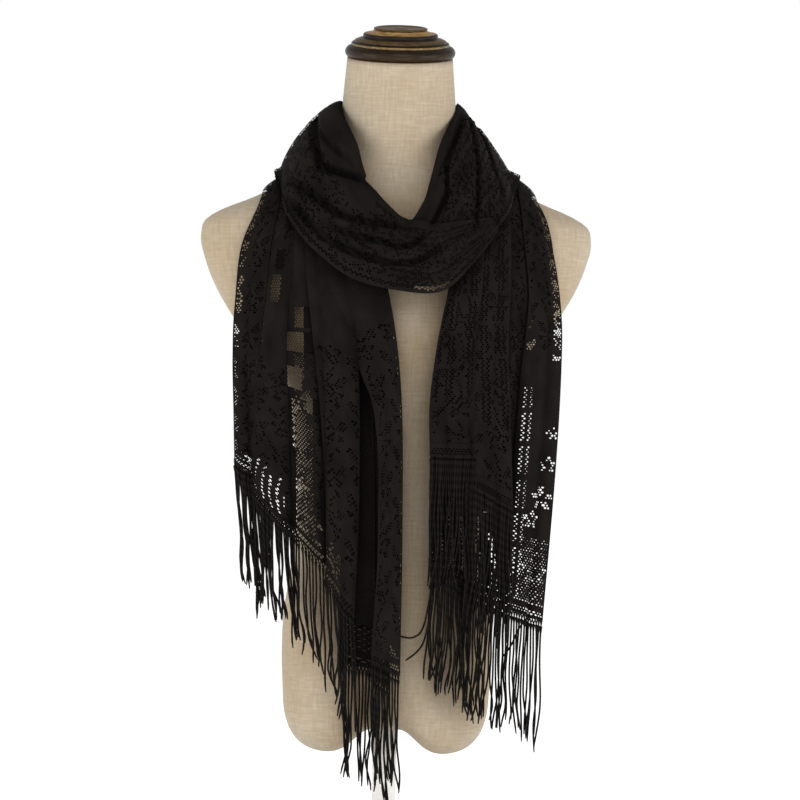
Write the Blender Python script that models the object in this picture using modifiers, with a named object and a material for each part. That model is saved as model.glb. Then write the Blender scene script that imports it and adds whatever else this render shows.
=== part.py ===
"""A lace shawl wound once round a limbless dress form on a plain stand.

The form stands upright, facing -Y, with +X to the viewer's right. The origin is at the middle of the
stand's underside. Every size below is in millimetres and is turned into metres as a mesh is made.
The shawl is in the stretches that show: a loop round the neck, a tail over each shoulder, the right
tail's front fold, and the knotted fringe of each hem.
"""
import math

import bmesh
import bpy
import numpy as np
from mathutils import Matrix

MM = 0.001
GAP = 0.3                      # between pieces that touch

# Stand
BASE_RADIUS = 140.0
BASE_THICK = 6.0
POLE_RADIUS = 12.0

# Dress form
FORM_POWER = 2.2               # how square the form's sections are: 2 is an ellipse
FORM_SIDES = 36
CLOSER_RINGS = (640, 720)      # heights between which the form has twice the rings, at its shoulders
LEAN_START = 740.0             # height above which the neck's rings begin to tilt
LOBE_RIM = 150.0               # height at which the thigh ends begin to round off
LOBE_DEPTH = 60.0
NOTCH_RISE = 28.0              # of the hollow between the thigh ends, over their lowest point
NOTCH_FLAT = 13.0              # half width of the flat seat for the pole
NOTCH_SPREAD = 24.0
LOBE_RINGS = (0.13, 0.3, 0.45, 0.6, 0.74, 0.85, 0.93, 0.98)    # shares of the rim's width
NECK_TILT = math.radians(10)   # the neck's top and its cap tip forward

# Columns: height, half width, y of the front, y of the back.
FORM_SECTIONS = [
    (791, 53.0, -75, 31),
    (768, 55.0, -72, 37),
    (740, 57.5, -68, 46),
    (715, 60.5, -64, 54),
    (697, 68.0, -61, 62),
    (682, 86.0, -61, 69),
    (669, 108.0, -63, 75),
    (657, 128.0, -66, 79),
    (647, 149.0, -69, 82),
    (637, 174.0, -73, 85),
    (627, 191.0, -77, 87),
    (610, 197.0, -83, 90),
    (585, 192.0, -90, 93),
    (560, 182.0, -96, 95),
    (525, 161.0, -100, 94),
    (485, 131.0, -101, 90),
    (440, 107.0, -95, 82),
    (380, 96.0, -85, 73),
    (325, 94.0, -81, 71),
    (280, 98.0, -83, 75),
    (230, 105.0, -89, 84),
    (190, 106.0, -91, 87),
    (LOBE_RIM, 104.0, -88, 84),
]

# Neck cap, from its foot up. Columns: radius, height.
CAP_PROFILE = [
    (50.5, 0.0),
    (54.2, 1.8),
    (55.6, 4.8),
    (55.0, 8.0),
    (52.2, 11.2),
    (49.6, 12.2),
    (49.6, 14.4),
    (48.2, 15.8),
    (46.4, 16.0),
    (46.2, 17.4),
    (42.0, 19.4),
    (37.2, 20.2),
    (37.6, 22.4),
    (36.2, 24.4),
    (33.0, 25.0),
    (29.0, 26.2),
    (26.4, 27.8),
    (27.3, 29.0),
    (25.5, 30.0),
    (0.0, 30.4),
]
CAP_STEPS = 28

# Shawl
CLOTH = 1.4                    # wall of the cloth

# Sections of each tail from behind the neck, over the shoulder and down to the hem.
# Columns: place along the tail, outer edge x, y, z, inner edge x, y, z, bow outwards.
LEFT_TAIL = [
    (0.00, -4, 90, 655, -4, 58, 706, 0),
    (0.12, -64, 82, 645, -48, 46, 706, 3),
    (0.25, -126, 6, 661, -64, 2, 700, 3),
    (0.34, -135, -46, 633, -46, -70, 662, 5),
    (0.42, -151, -62, 604, -22, -97, 606, 6),
    (0.55, -158, -66, 540, -3, -110, 540, 12),
    (0.70, -159, -67, 484, 9, -114, 450, 16),
    (0.85, -157, -67, 426, 13, -114, 320, 14),
    (1.00, -155, -66, 370, 14, -113, 184, 12),
]
RIGHT_TAIL = [
    (0.00, 4, 90, 655, 4, 58, 706, 0),
    (0.12, 64, 82, 645, 48, 46, 706, 3),
    (0.25, 132, 4, 662, 66, 2, 700, 3),
    (0.34, 143, -40, 638, 64, -68, 662, 5),
    (0.42, 154, -56, 607, 56, -95, 612, 5),
    (0.55, 165, -61, 545, 54, -106, 555, 9),
    (0.70, 167, -63, 480, 44, -110, 480, 12),
    (0.85, 163, -63, 370, 40, -109, 390, 10),
    (1.00, 154, -63, 232, 41, -108, 290, 8),
]
RIGHT_FOLD = [
    (0.00, 112, -68, 642, 62, -88, 632, 3),
    (0.15, 114, -82, 616, 58, -104, 610, 4),
    (0.40, 115, -98, 560, 53, -117, 558, 4),
    (0.60, 114, -107, 500, 43, -121, 503, 4),
    (0.80, 118, -107, 425, 37, -122, 448, 4),
    (1.00, 122, -106, 345, 38, -121, 402, 4),
]

TAIL_LONG = 560.0              # length of a tail's cloth along its middle
FOLD_LONG = 270.0

# Folds that run down a tail. Columns: place across (0 outer edge, 1 inner edge), half width as a
# share of the tail's width, depth at the chest, depth at the hem.
LEFT_FOLDS = [
    (0.10, 0.050, 3, 12),
    (0.37, 0.055, 4, 14),
    (0.57, 0.050, 3, 13),
    (0.70, 0.045, 3, 13),
    (0.87, 0.050, 2, 8),
]
RIGHT_FOLDS = [
    (0.14, 0.070, 3, 9),
    (0.38, 0.070, 3, 8),
    (0.72, 0.080, 1, 5),
]
FRONT_FOLDS = [
    (0.22, 0.080, 1, 5),
    (0.52, 0.080, 1, 6),
    (0.80, 0.070, 1, 5),
]
SHOULDER = (0.12, 0.42)        # places between which a tail turns over the shoulder
FOLD_START = 0.30              # place along a tail at which its folds begin to open
WIDEST_COLUMN = 0.10           # of the cloth's grid, as a share of a tail's width
SHOULDER_ROWS = 11

# What is particular to each tail: side is 1 on the right and -1 on the left; clear is the distance from
# the form's skin to the middle of the wall; hem's rows are a place across and the hem's rise there over
# the straight line between its corners; slots' rows are a place across, and the places along between
# which a border of slots is cut.
LEFT = {
    "sections": LEFT_TAIL,
    "folds": LEFT_FOLDS,
    "hem": [(0.0, 0), (0.10, 6), (0.33, 12), (0.54, 16), (0.72, -8), (1.0, 0)],
    "slots": [(0.28, 0.58, 0.96), (0.04, 0.50, 0.80)],
    "side": -1,
    "clear": 3.8,
}
RIGHT = {
    "sections": RIGHT_TAIL,
    "folds": RIGHT_FOLDS,
    "hem": [(0.0, 0), (0.26, 4), (0.50, 0), (1.0, 0)],
    "slots": [(0.26, 0.50, 0.96), (0.04, 0.50, 0.90)],
    "side": 1,
    "clear": 2.8,
}
FOLD = {
    "sections": RIGHT_FOLD,
    "folds": FRONT_FOLDS,
    "hem": [(0.0, 0), (0.48, -2), (0.62, 16), (1.0, 0)],
    "slots": [],
    "side": 1,
    "clear": 9.0,
}
# From the form's skin to the middle of the loop's wall. Columns: place across, distance.
LOOP_CLEAR = [(0.0, 1.5), (0.3, 12.0), (1.0, 12.0)]
LOOP_CROWN = 0.6               # below 1 the loop's bulge is full to its edges

# The loop round the neck, from the left shoulder past the chest to the right shoulder and back behind
# the neck. Columns: place round, upper edge x, y, z, lower edge x, y, z, bulge outwards, folds' depth.
LOOP_SECTIONS = [
    (0.00, -57, -14, 746, -118, 6, 668, 14, 1.0),
    (0.06, -54, -46, 729, -115, -52, 649, 14, 1.5),
    (0.13, -41, -74, 701, -107, -86.5, 626, 12, 2.5),
    (0.20, -30, -92.5, 666, -78, -118, 592, 9, 3.5),
    (0.26, -10, -104, 640, -40, -131, 566, 7, 4.0),
    (0.31, 10, -109, 625, 2, -135, 556, 6, 4.0),
    (0.36, 24, -104, 644, 44, -137, 555, 6, 4.0),
    (0.42, 31, -92, 666, 76, -131, 584, 7, 3.5),
    (0.48, 40, -74, 700, 99, -114, 615, 8, 2.5),
    (0.54, 50, -46, 724, 114, -88, 640, 6, 1.5),
    (0.60, 58, -14, 746, 118, 4, 668, 5, 1.0),
    (0.68, 52, 26, 743, 110, 70, 654, 7, 1.5),
    (0.74, 30, 46, 740, 66, 104, 638, 10, 2.5),
    (0.80, 0, 54, 738, 0, 114, 632, 9, 3.0),
    (0.86, -30, 46, 740, -66, 104, 638, 10, 2.5),
    (0.92, -52, 26, 743, -110, 70, 654, 13, 1.5),
    (1.00, -57, -14, 746, -118, 6, 668, 14, 1.0),
]
LOOP_SPLIT = 0.60              # place of the seam on the right shoulder; the other is at 0
LOOP_WAVES = 3                 # folds across the loop's width
LOOP_GRID = (27, 17, 13)       # points along its front, along its back and across it

# Openwork: rows of eyelets are cells of the cloth's grid, cut through with a rim left round each.
EYELET_SHARE = 0.64            # of its cell's width and height
EYELET_CELL = 6.5              # narrowest cell that takes an eyelet
HEM_MARGIN = (16.0, 6.0)       # upper and lower edge of the eyelet row, above the hem

# Fringe
STRIP_HIGH = 4.0
STRIP_THICK = 2.0
STRAND_LONG = 115.0
STRAND_SPREAD = 5.0            # how much the strands' lengths vary


def spline(keys, rows, at):
    """Smooth curve through the rows of a table, read at the given places."""
    keys = np.asarray(keys, float)
    rows = np.asarray(rows, float)
    slopes = np.gradient(rows, keys, axis=0)
    at = np.clip(np.asarray(at, float), keys.min(), keys.max())
    cell = np.clip(np.searchsorted(keys, at, side="right") - 1, 0, len(keys) - 2)
    width = (keys[cell + 1] - keys[cell])
    t = ((at - keys[cell]) / width)[:, None]
    width = width[:, None]
    return ((2 * t ** 3 - 3 * t ** 2 + 1) * rows[cell]
            + (t ** 3 - 2 * t ** 2 + t) * width * slopes[cell]
            + (3 * t ** 2 - 2 * t ** 3) * rows[cell + 1]
            + (t ** 3 - t ** 2) * width * slopes[cell + 1])


def form_reach(points):
    """1 on the form's skin, less inside it and more outside."""
    table = np.array(FORM_SECTIONS[::-1], float)
    half, front, back = spline(table[:, 0], table[:, 1:], points[:, 2]).T
    across = np.abs(points[:, 0]) / half
    deep = np.abs(points[:, 1] - (front + back) / 2) / ((back - front) / 2)
    return (across ** FORM_POWER + deep ** FORM_POWER) ** (1 / FORM_POWER)


def clear_of_form(points, gap):
    """Moves the points that are nearer the form's skin than the gap straight out to it."""
    points = points.copy()
    for _ in range(8):
        reach = form_reach(points)
        slope = np.stack([form_reach(points + step) - reach for step in np.eye(3)], axis=1)
        steep = np.linalg.norm(slope, axis=1, keepdims=True) + 1e-9
        distance = (reach[:, None] - 1) / steep
        points += np.clip(gap - distance, 0, 6) * slope / steep
    return points


def grid_normals(grid, ring=False):
    """Unit normals of a grid of points; a ring's last row is its first one again."""
    if ring:
        around = np.concatenate([grid[-2:-1], grid, grid[1:2]])
        return grid_normals(around)[1:-1]
    along = np.gradient(grid, axis=0)
    across = np.gradient(grid, axis=1)
    normal = np.cross(across, along)
    return normal / (np.linalg.norm(normal, axis=2, keepdims=True) + 1e-9)


def trough(distance):
    """1 in the middle of a fold, easing to 0 at its half width."""
    return np.where(np.abs(distance) < 1, 0.5 + 0.5 * np.cos(np.pi * np.clip(distance, -1, 1)), 0)


def tail_grid(shape, along, across):
    """Points of a tail's cloth, one row for each place along it."""
    table = np.array(shape["sections"], float)
    rows = spline(table[:, 0], table[:, 1:], along)
    outer = rows[:, None, 0:3]
    inner = rows[:, None, 3:6]
    f = np.asarray(across)[None, :, None]
    grid = outer + (inner - outer) * f
    opened = np.clip((np.asarray(along) - 0.5) / 0.5, 0, 1)[:, None] ** 1.5
    places, rises = zip(*shape["hem"])
    rise = np.interp(across, places, rises)[None, :]
    grid[:, :, 2] += opened * rise
    out = grid_normals(grid) * shape["side"]
    bow = rows[:, 6][:, None] * 4 * f[:, :, 0] * (1 - f[:, :, 0])
    down = np.clip((np.asarray(along) - FOLD_START) / (1 - FOLD_START), 0, 1)[:, None]
    for place, half, chest, low in shape["folds"]:
        depth = (chest + (low - chest) * down) * np.sqrt(down)
        bow = bow - depth * trough((f[:, :, 0] - place) / half)
    grid = grid + out * bow[:, :, None]
    return clear_of_form(grid.reshape(-1, 3), shape["clear"]).reshape(grid.shape)


def loop_grid(sections, along, across):
    """Points of the loop's cloth, one row for each place round the neck."""
    table = np.array(sections, float)
    turn = np.eye(1, table.shape[1])
    table = np.concatenate([table[-3:-1] - turn, table, table[1:3] + turn])
    rows = spline(table[:, 0], table[:, 1:], along)
    upper = rows[:, None, 0:3]
    lower = rows[:, None, 3:6]
    v = np.asarray(across)[None, :, None]
    grid = upper + (lower - upper) * v
    out = grid_normals(grid, ring=True)
    bulge = rows[:, 6][:, None] * (4 * v[:, :, 0] * (1 - v[:, :, 0])) ** LOOP_CROWN
    ripple = rows[:, 7][:, None] * np.sin(2 * np.pi * LOOP_WAVES * v[:, :, 0]) * np.sin(np.pi * v[:, :, 0])
    grid = grid + out * (bulge + ripple)[:, :, None]
    gap = np.tile(np.interp(across, *zip(*LOOP_CLEAR)), len(along))[:, None]
    return clear_of_form(grid.reshape(-1, 3), gap).reshape(grid.shape)


def material(name, colour, roughness, metallic=0.0):
    made = bpy.data.materials.new(name)
    made.use_nodes = True
    shader = made.node_tree.nodes["Principled BSDF"]
    shader.inputs["Base Color"].default_value = (*colour, 1.0)
    shader.inputs["Roughness"].default_value = roughness
    shader.inputs["Metallic"].default_value = metallic
    return made


def add_object(name, mesh, finish, collection, smooth=True):
    made = bpy.data.objects.new(name, mesh)
    collection.objects.link(made)
    mesh.materials.append(finish)
    if smooth:
        mesh.shade_smooth()
    return made


def add_grid(bm, grid):
    """Quads over a grid of points in millimetres; returns its faces by row."""
    corners = [[bm.verts.new(point * MM) for point in row] for row in grid]
    faces = []
    for lower, upper in zip(corners, corners[1:]):
        cells = zip(lower, lower[1:], upper[1:], upper)
        faces.append([bm.faces.new(cell) for cell in cells])
    return faces


def build_form(collection, finish):
    """The form's body: rings up to the neck, over a floor of two rounded thigh ends."""
    heights = np.array([row[0] for row in FORM_SECTIONS], float)[::-1]
    between = (heights[:-1] + heights[1:]) / 2
    low, high = CLOSER_RINGS
    levels = np.sort(np.concatenate([heights, between[(between > low) & (between < high)]]))
    table = np.array(FORM_SECTIONS[::-1], float)
    sections = spline(table[:, 0], table[:, 1:], levels)
    angles = np.arange(FORM_SIDES) * 2 * math.pi / FORM_SIDES
    across = np.sign(np.cos(angles)) * np.abs(np.cos(angles)) ** (2 / FORM_POWER)
    deep = np.sign(np.sin(angles)) * np.abs(np.sin(angles)) ** (2 / FORM_POWER)

    def ring(section, height):
        half, front, back = section
        middle = (front + back) / 2
        y = middle + (back - front) / 2 * deep
        return np.stack([half * across, y, np.full(FORM_SIDES, height)], axis=1)

    bm = bmesh.new()
    rings = []
    for share in LOBE_RINGS:
        points = ring(sections[0], 0.0)
        points[:, :2] = points[:, :2] * share
        points[:, 2] = LOBE_RIM - LOBE_DEPTH * math.sqrt(1 - share ** 6)
        apart = np.clip(np.abs(points[:, 0]) - NOTCH_FLAT, 0, None) / NOTCH_SPREAD
        points[:, 2] += NOTCH_RISE * np.exp(-apart ** 2) * (1 - share ** 6)
        rings.append(points)
    for section, level in zip(sections, levels):
        points = ring(section, level)
        if level > LEAN_START:
            lean = (level - LEAN_START) / (heights[-1] - LEAN_START) * math.tan(NECK_TILT)
            points[:, 2] += lean * (points[:, 1] - (section[1] + section[2]) / 2)
        rings.append(points)
    corners = [[bm.verts.new(point * MM) for point in points] for points in rings]
    for lower, upper in zip(corners, corners[1:]):
        for i in range(FORM_SIDES):
            j = (i + 1) % FORM_SIDES
            bm.faces.new((lower[i], lower[j], upper[j], upper[i]))
    bm.faces.new(corners[0][::-1])
    bm.faces.new(corners[-1])
    mesh = bpy.data.meshes.new("form_body")
    bm.to_mesh(mesh)
    bm.free()
    return add_object("form_body", mesh, finish, collection)


def build_turned(name, profile, steps, collection, finish):
    """A turned piece: its profile, from the top outwards and down, swept by a Screw modifier."""
    mesh = bpy.data.meshes.new(name)
    points = [(radius * MM, 0, height * MM) for radius, height in profile[::-1]]
    mesh.from_pydata(points, [(i, i + 1) for i in range(len(points) - 1)], [])
    turned = add_object(name, mesh, finish, collection, smooth=False)
    screw = turned.modifiers.new("Turn", "SCREW")
    screw.steps = steps
    screw.render_steps = steps
    screw.use_merge_vertices = True
    screw.merge_threshold = 0.00001
    screw.use_smooth_shade = True
    return turned


def build_cloth(name, grid, eyelets, collection, finish):
    """A wall of cloth over a grid of points, with the named cells cut through."""
    bm = bmesh.new()
    faces = add_grid(bm, grid)
    cut = [faces[row][column] for row, column in eyelets]
    if cut:
        bmesh.ops.inset_individual(bm, faces=cut, thickness=0.0)
        for face in cut:
            middle = Matrix.Translation(-face.calc_center_median())
            bmesh.ops.scale(bm, vec=[EYELET_SHARE] * 3, verts=face.verts, space=middle)
        bmesh.ops.delete(bm, geom=cut, context="FACES")
    mesh = bpy.data.meshes.new(name)
    bm.to_mesh(mesh)
    bm.free()
    cloth = add_object(name, mesh, finish, collection)
    wall = cloth.modifiers.new("Wall", "SOLIDIFY")
    wall.thickness = CLOTH * MM
    wall.offset = 0.0
    return cloth


def fold_columns(folds, widest):
    """Places across a tail that follow its folds, with no gap wider than the given share."""
    marks = {0.0, 1.0}
    for place, half, _, _ in folds:
        marks.update(place + half * share for share in (-1, -0.5, 0, 0.5, 1))
    marks = sorted(mark for mark in marks if 0 <= mark <= 1)
    columns = [marks[0]]
    for mark in marks[1:]:
        pieces = max(1, math.ceil((mark - columns[-1]) / widest))
        start = columns[-1]
        columns += [start + (mark - start) * (i + 1) / pieces for i in range(pieces)]
    return columns


def hanging_rows(start, count, length):
    """Places along a tail from its start: even ones, then the eyelet row's edges and the hem."""
    upper, lower = (1 - margin / length for margin in HEM_MARGIN)
    return np.concatenate([np.linspace(start, upper, count), [lower, 1.0]])


def tail_rows(count, length):
    """The same for a tail that comes over a shoulder, with closer rows where it turns over."""
    behind, before = SHOULDER
    over = np.linspace(behind, before, SHOULDER_ROWS)
    return np.concatenate([[0.0, behind / 2], over[:-1], hanging_rows(before, count, length)])


def wide_enough(grid, row, column):
    """Whether a cell is wide enough across for an eyelet."""
    corner = grid[row, column]
    side = grid[row, column + 1] - corner
    drop = grid[row + 1, column] - corner
    area = np.linalg.norm(np.cross(side, drop))
    return area / max(np.linalg.norm(side), np.linalg.norm(drop)) > EYELET_CELL


def open_cells(grid, rows, columns, slots):
    """The cells to cut through: a row of eyelets above the hem and the slots of each lace border."""
    hem_row = len(rows) - 3
    cells = {(hem_row, column) for column in range(len(columns) - 1)}
    for place, first, last in slots:
        column = int(np.searchsorted(columns, place)) - 1
        cells |= {(row, column) for row in range(hem_row - 1) if first < rows[row] < last}
    return sorted(cell for cell in cells if wide_enough(grid, *cell))


def build_fringe(name, hem, normals, count, lean, collection, finish):
    """A narrow strip under a hem, with strands drawn down from every other of its cells."""
    cells = 2 * count + 1
    steps = np.linalg.norm(np.diff(hem[:, [0, 2]], axis=0), axis=1)
    travelled = np.concatenate([[0], np.cumsum(steps)])
    at = np.linspace(0, travelled[-1], cells + 1)
    line = np.stack([np.interp(at, travelled, hem[:, axis]) for axis in range(3)], axis=1)
    out = np.stack([np.interp(at, travelled, normals[:, axis]) for axis in range(3)], axis=1)
    out[:, 2] = 0
    out /= np.linalg.norm(out, axis=1, keepdims=True)
    line[:, 2] -= GAP + CLOTH / 2
    front = line + out * STRIP_THICK / 2
    back = line - out * STRIP_THICK / 2
    down = np.array([0, 0, STRIP_HIGH])
    bm = bmesh.new()
    ring = [[bm.verts.new(p * MM) for p in row] for row in (front, back, back - down, front - down)]
    bottoms = []
    for i in range(cells):
        for a, b in ((0, 1), (1, 2), (2, 3), (3, 0)):
            face = bm.faces.new((ring[a][i], ring[a][i + 1], ring[b][i + 1], ring[b][i]))
            if (a, b) == (2, 3) and i % 2 == 1:
                bottoms.append(face)
    bm.faces.new([row[0] for row in ring])
    bm.faces.new([row[-1] for row in ring][::-1])
    for number, face in enumerate(bottoms):
        length = STRAND_LONG + STRAND_SPREAD * math.sin(number * 2.4)
        sway = 1.5 * math.sin(number * 0.35)
        for share in (0.45, 0.55):
            grown = bmesh.ops.extrude_discrete_faces(bm, faces=[face])
            face = grown["faces"][0]
            shift = (lean * length * share + sway * (1 if share < 0.5 else -1), 0, -length * share)
            bmesh.ops.translate(bm, verts=face.verts, vec=np.array(shift) * MM)
    bmesh.ops.recalc_face_normals(bm, faces=bm.faces)
    mesh = bpy.data.meshes.new(name)
    bm.to_mesh(mesh)
    bm.free()
    return add_object(name, mesh, finish, collection, smooth=False)


def build_tail(name, shape, rows, fringe, collection, finish):
    """A tail's cloth and its fringe; fringe holds the fringe's name, its count of strands and lean."""
    columns = np.array(fold_columns(shape["folds"], WIDEST_COLUMN))
    grid = tail_grid(shape, rows, columns)
    build_cloth(name, grid, open_cells(grid, rows, columns, shape["slots"]), collection, finish)
    fringe_name, count, lean = fringe
    normals = grid_normals(grid)[-1] * shape["side"]
    build_fringe(fringe_name, grid[-1], normals, count, lean, collection, finish)


def build_loop(collection, finish):
    """The loop's front and back, cut from one ring of cloth with a gap at each shoulder."""
    front_count, back_count, across_count = LOOP_GRID
    front = np.linspace(0, LOOP_SPLIT, front_count)
    back = np.linspace(LOOP_SPLIT, 1, back_count)
    grid = loop_grid(LOOP_SECTIONS, np.concatenate([front, back[1:]]), np.linspace(0, 1, across_count))
    pieces = {"loop_front": grid[:len(front)].copy(), "loop_back": grid[len(front) - 1:].copy()}
    for name, points in pieces.items():
        for end, inside in ((0, 1), (-1, -2)):
            inward = points[inside] - points[end]
            points[end] += inward / np.linalg.norm(inward, axis=1, keepdims=True) * GAP
        build_cloth(name, points, [], collection, finish)


def main():
    for old in list(bpy.data.objects):
        bpy.data.objects.remove(old, do_unlink=True)
    collection = bpy.data.collections.new("lace_shawl_on_form")
    bpy.context.scene.collection.children.link(collection)
    linen = material("Linen", (0.56, 0.46, 0.34), 0.85)
    wood = material("Turned wood", (0.025, 0.014, 0.008), 0.3)
    steel = material("Painted steel", (0.6, 0.6, 0.6), 0.4, 0.9)
    lace = material("Black lace", (0.012, 0.010, 0.010), 0.8)

    pole_top = LOBE_RIM - LOBE_DEPTH + NOTCH_RISE
    base = [(0, 0), (BASE_RADIUS - 1, 0), (BASE_RADIUS, 1), (BASE_RADIUS, BASE_THICK - 1),
            (BASE_RADIUS - 1, BASE_THICK), (0, BASE_THICK)]
    build_turned("stand_base", base, 48, collection, steel)
    pole = [(0, BASE_THICK + GAP), (POLE_RADIUS, BASE_THICK + GAP), (POLE_RADIUS, pole_top - GAP),
            (0, pole_top - GAP)]
    build_turned("stand_pole", pole, 20, collection, steel)
    build_form(collection, linen)
    cap = build_turned("neck_cap", [(0.0, 0.0)] + CAP_PROFILE, CAP_STEPS, collection, wood)
    top = FORM_SECTIONS[0]
    cap.location = (0, (top[2] + top[3]) / 2 * MM, (top[0] + GAP) * MM)
    cap.rotation_euler = (NECK_TILT, 0, 0)

    build_tail("tail_left", LEFT, tail_rows(10, TAIL_LONG), ("fringe_left", 60, 0.06), collection, lace)
    build_tail("tail_right", RIGHT, tail_rows(8, TAIL_LONG), ("fringe_right", 34, -0.04), collection, lace)
    fold_rows = hanging_rows(0.0, 11, FOLD_LONG)
    build_tail("fold_right", FOLD, fold_rows, ("fringe_fold", 28, 0.0), collection, lace)
    build_loop(collection, lace)


main()
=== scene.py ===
# %% [markdown]
# # A lace shawl on a dress form
#
# A long black shawl of knitted lace is wound once round a limbless display form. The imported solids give
# the true shapes and places. Here each of them gets a finer piece with the finish of the real thing:
# linen stretched over the form, a turned and varnished wooden cap, and openwork lace with a knotted fringe.
#
# Sizes are in millimetres, as a tailor notes them, and become metres when a mesh is made.

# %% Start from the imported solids
import math

import bpy
import numpy as np
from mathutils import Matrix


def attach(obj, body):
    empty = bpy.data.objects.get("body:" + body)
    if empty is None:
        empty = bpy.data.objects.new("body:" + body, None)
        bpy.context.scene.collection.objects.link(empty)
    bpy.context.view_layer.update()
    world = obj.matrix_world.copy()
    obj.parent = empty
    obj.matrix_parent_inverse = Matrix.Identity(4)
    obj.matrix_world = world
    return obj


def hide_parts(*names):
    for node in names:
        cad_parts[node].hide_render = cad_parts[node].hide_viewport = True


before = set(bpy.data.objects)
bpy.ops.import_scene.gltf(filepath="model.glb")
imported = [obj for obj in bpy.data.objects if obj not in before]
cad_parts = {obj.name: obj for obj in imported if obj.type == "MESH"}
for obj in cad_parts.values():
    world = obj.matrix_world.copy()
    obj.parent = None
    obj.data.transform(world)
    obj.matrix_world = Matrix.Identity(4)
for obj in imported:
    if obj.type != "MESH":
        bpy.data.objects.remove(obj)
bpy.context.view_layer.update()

MM = 0.001
print("solids:", ", ".join(sorted(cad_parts)))

# %% [markdown]
# ## Camera
#
# The object was photographed from well back with a long lens, level with its middle, and the picture leans
# by a little over a degree. A camera five metres away does the same: at the cloth's depth one millimetre
# fills one pixel of the 800. The lean is in the camera's own upright, so the form itself stands straight.

# %% Camera
PICTURE = 800.0                # millimetres that fill the picture at the cloth's depth
CLOTH_DEPTH = -50.0            # y of that plane
DISTANCE = 5000.0
AIM = (7.7, 447.1)             # x and z in the middle of the picture
ROLL = math.radians(1.3)
SENSOR = 36.0

camera_data = bpy.data.cameras.new("Camera")
camera_data.sensor_width = SENSOR
camera_data.lens = SENSOR * DISTANCE / PICTURE
camera_data.clip_end = 60.0
camera = bpy.data.objects.new("Camera", camera_data)
bpy.context.scene.collection.objects.link(camera)
camera.location = (AIM[0] * MM, (CLOTH_DEPTH - DISTANCE) * MM, AIM[1] * MM)
camera.rotation_euler = (math.pi / 2, -ROLL, 0)
bpy.context.scene.camera = camera
print("lens:", round(camera_data.lens), "mm")

# %% [markdown]
# ## Small helpers for finishes
#
# Paint and dye are given as the hex colours that a person would pick on a screen, and one function turns
# them into the linear numbers that the shader works with. Another adds a node, sets it and links it, which
# keeps each finish short enough to read.

# %% Helpers for finishes
def linear(hex_colour):
    """An sRGB hex colour as linear red, green, blue and alpha."""
    parts = [int(hex_colour[i:i + 2], 16) / 255 for i in (1, 3, 5)]
    return [c / 12.92 if c <= 0.04045 else ((c + 0.055) / 1.055) ** 2.4 for c in parts] + [1.0]


def add_node(tree, kind, inputs=None, stops=(), **settings):
    """Adds a node with its settings. An input is a number, a colour or another node's socket to link.

    A colour ramp also gets its stops: places and hex colours.
    """
    made = tree.nodes.new("ShaderNode" + kind)
    for name, value in settings.items():
        setattr(made, name, value)
    for number, (place, hex_colour) in enumerate(stops):
        elements = made.color_ramp.elements
        element = elements[number] if number < len(elements) else elements.new(1.0)
        element.position = place
        element.color = linear(hex_colour)
    for name, value in (inputs or {}).items():
        if isinstance(value, bpy.types.NodeSocket):
            tree.links.new(value, made.inputs[name])
        else:
            made.inputs[name].default_value = value
    return made


def new_finish(name, **constants):
    """A material and its tree, with numbers set on the shader's own sockets."""
    finish = bpy.data.materials.new(name)
    finish.use_nodes = True
    shader = finish.node_tree.nodes["Principled BSDF"]
    for socket, value in constants.items():
        shader.inputs[socket.replace("_", " ")].default_value = value
    return finish, finish.node_tree, shader


def dress(tree, shader, colour, relief, strength, depth):
    """Gives the shader its colour, and a bump from a relief; depth is in metres."""
    bump = add_node(tree, "Bump", {"Height": relief, "Strength": strength, "Distance": depth})
    tree.links.new(bump.outputs[0], shader.inputs["Normal"])
    tree.links.new(colour, shader.inputs["Base Color"])


def stretched_noise(tree, place, scale, detail=3.0):
    """Noise that is stretched by a scale of its own along each axis."""
    mapped = add_node(tree, "Mapping", {"Vector": place, "Scale": scale})
    return add_node(tree, "TexNoise", {"Vector": mapped.outputs[0], "Scale": 1.0, "Detail": detail})


# A Mix node that multiplies two colours has them in its inputs 6 and 7, and gives its output 2.
TINTED = {"data_type": "RGBA", "blend_type": "MULTIPLY"}
FOLD_RAYS = 2                  # enough, since the render itself takes many samples
DEEP = 0.45                    # share of open sky at the bottom of a fold
OPEN = 0.92                    # and on a surface with nothing near


# Painted shade: an ambient occlusion node darkens a colour in folds and close under other surfaces.
def painted_fold_shade(tree, colour, reach, dark):
    """Paints shade into the colour: darker where other surfaces stand close around within the reach, in
    metres.
    """
    openness = add_node(tree, "AmbientOcclusion", {"Distance": reach}, samples=FOLD_RAYS).outputs[1]
    shade_tint = add_node(tree, "ValToRGB", {"Fac": openness}, [(DEEP, dark), (OPEN, "#ffffff")]).outputs[0]
    return add_node(tree, "Mix", {0: 1.0, 6: shade_tint, 7: colour}, **TINTED).outputs[2]


# %% [markdown]
# ## Small helpers for meshes
#
# Cloth that hangs isn't a primitive: its surface is worked out as rows of points and becomes a mesh
# directly. The meshes of cloth and cord get a UV map laid out in real metres, so a weave or a knit keeps
# its true size wherever the cloth is bent.

# %% Helpers for meshes
def make_piece(name, points, faces, finish, uv=None, smooth=True):
    """An object from points in millimetres; uv has one row a point, also in millimetres."""
    mesh = bpy.data.meshes.new(name)
    mesh.from_pydata((np.asarray(points) * MM).tolist(), [], faces)
    if uv is not None:
        corners = np.empty(len(mesh.loops), np.int32)
        mesh.loops.foreach_get("vertex_index", corners)
        layer = mesh.uv_layers.new(name="cloth")
        layer.data.foreach_set("uv", (np.asarray(uv)[corners] * MM).ravel().astype(np.float32))
    mesh.materials.append(finish)
    if smooth:
        mesh.shade_smooth()
    piece = bpy.data.objects.new(name, mesh)
    bpy.context.scene.collection.objects.link(piece)
    return piece


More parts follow.
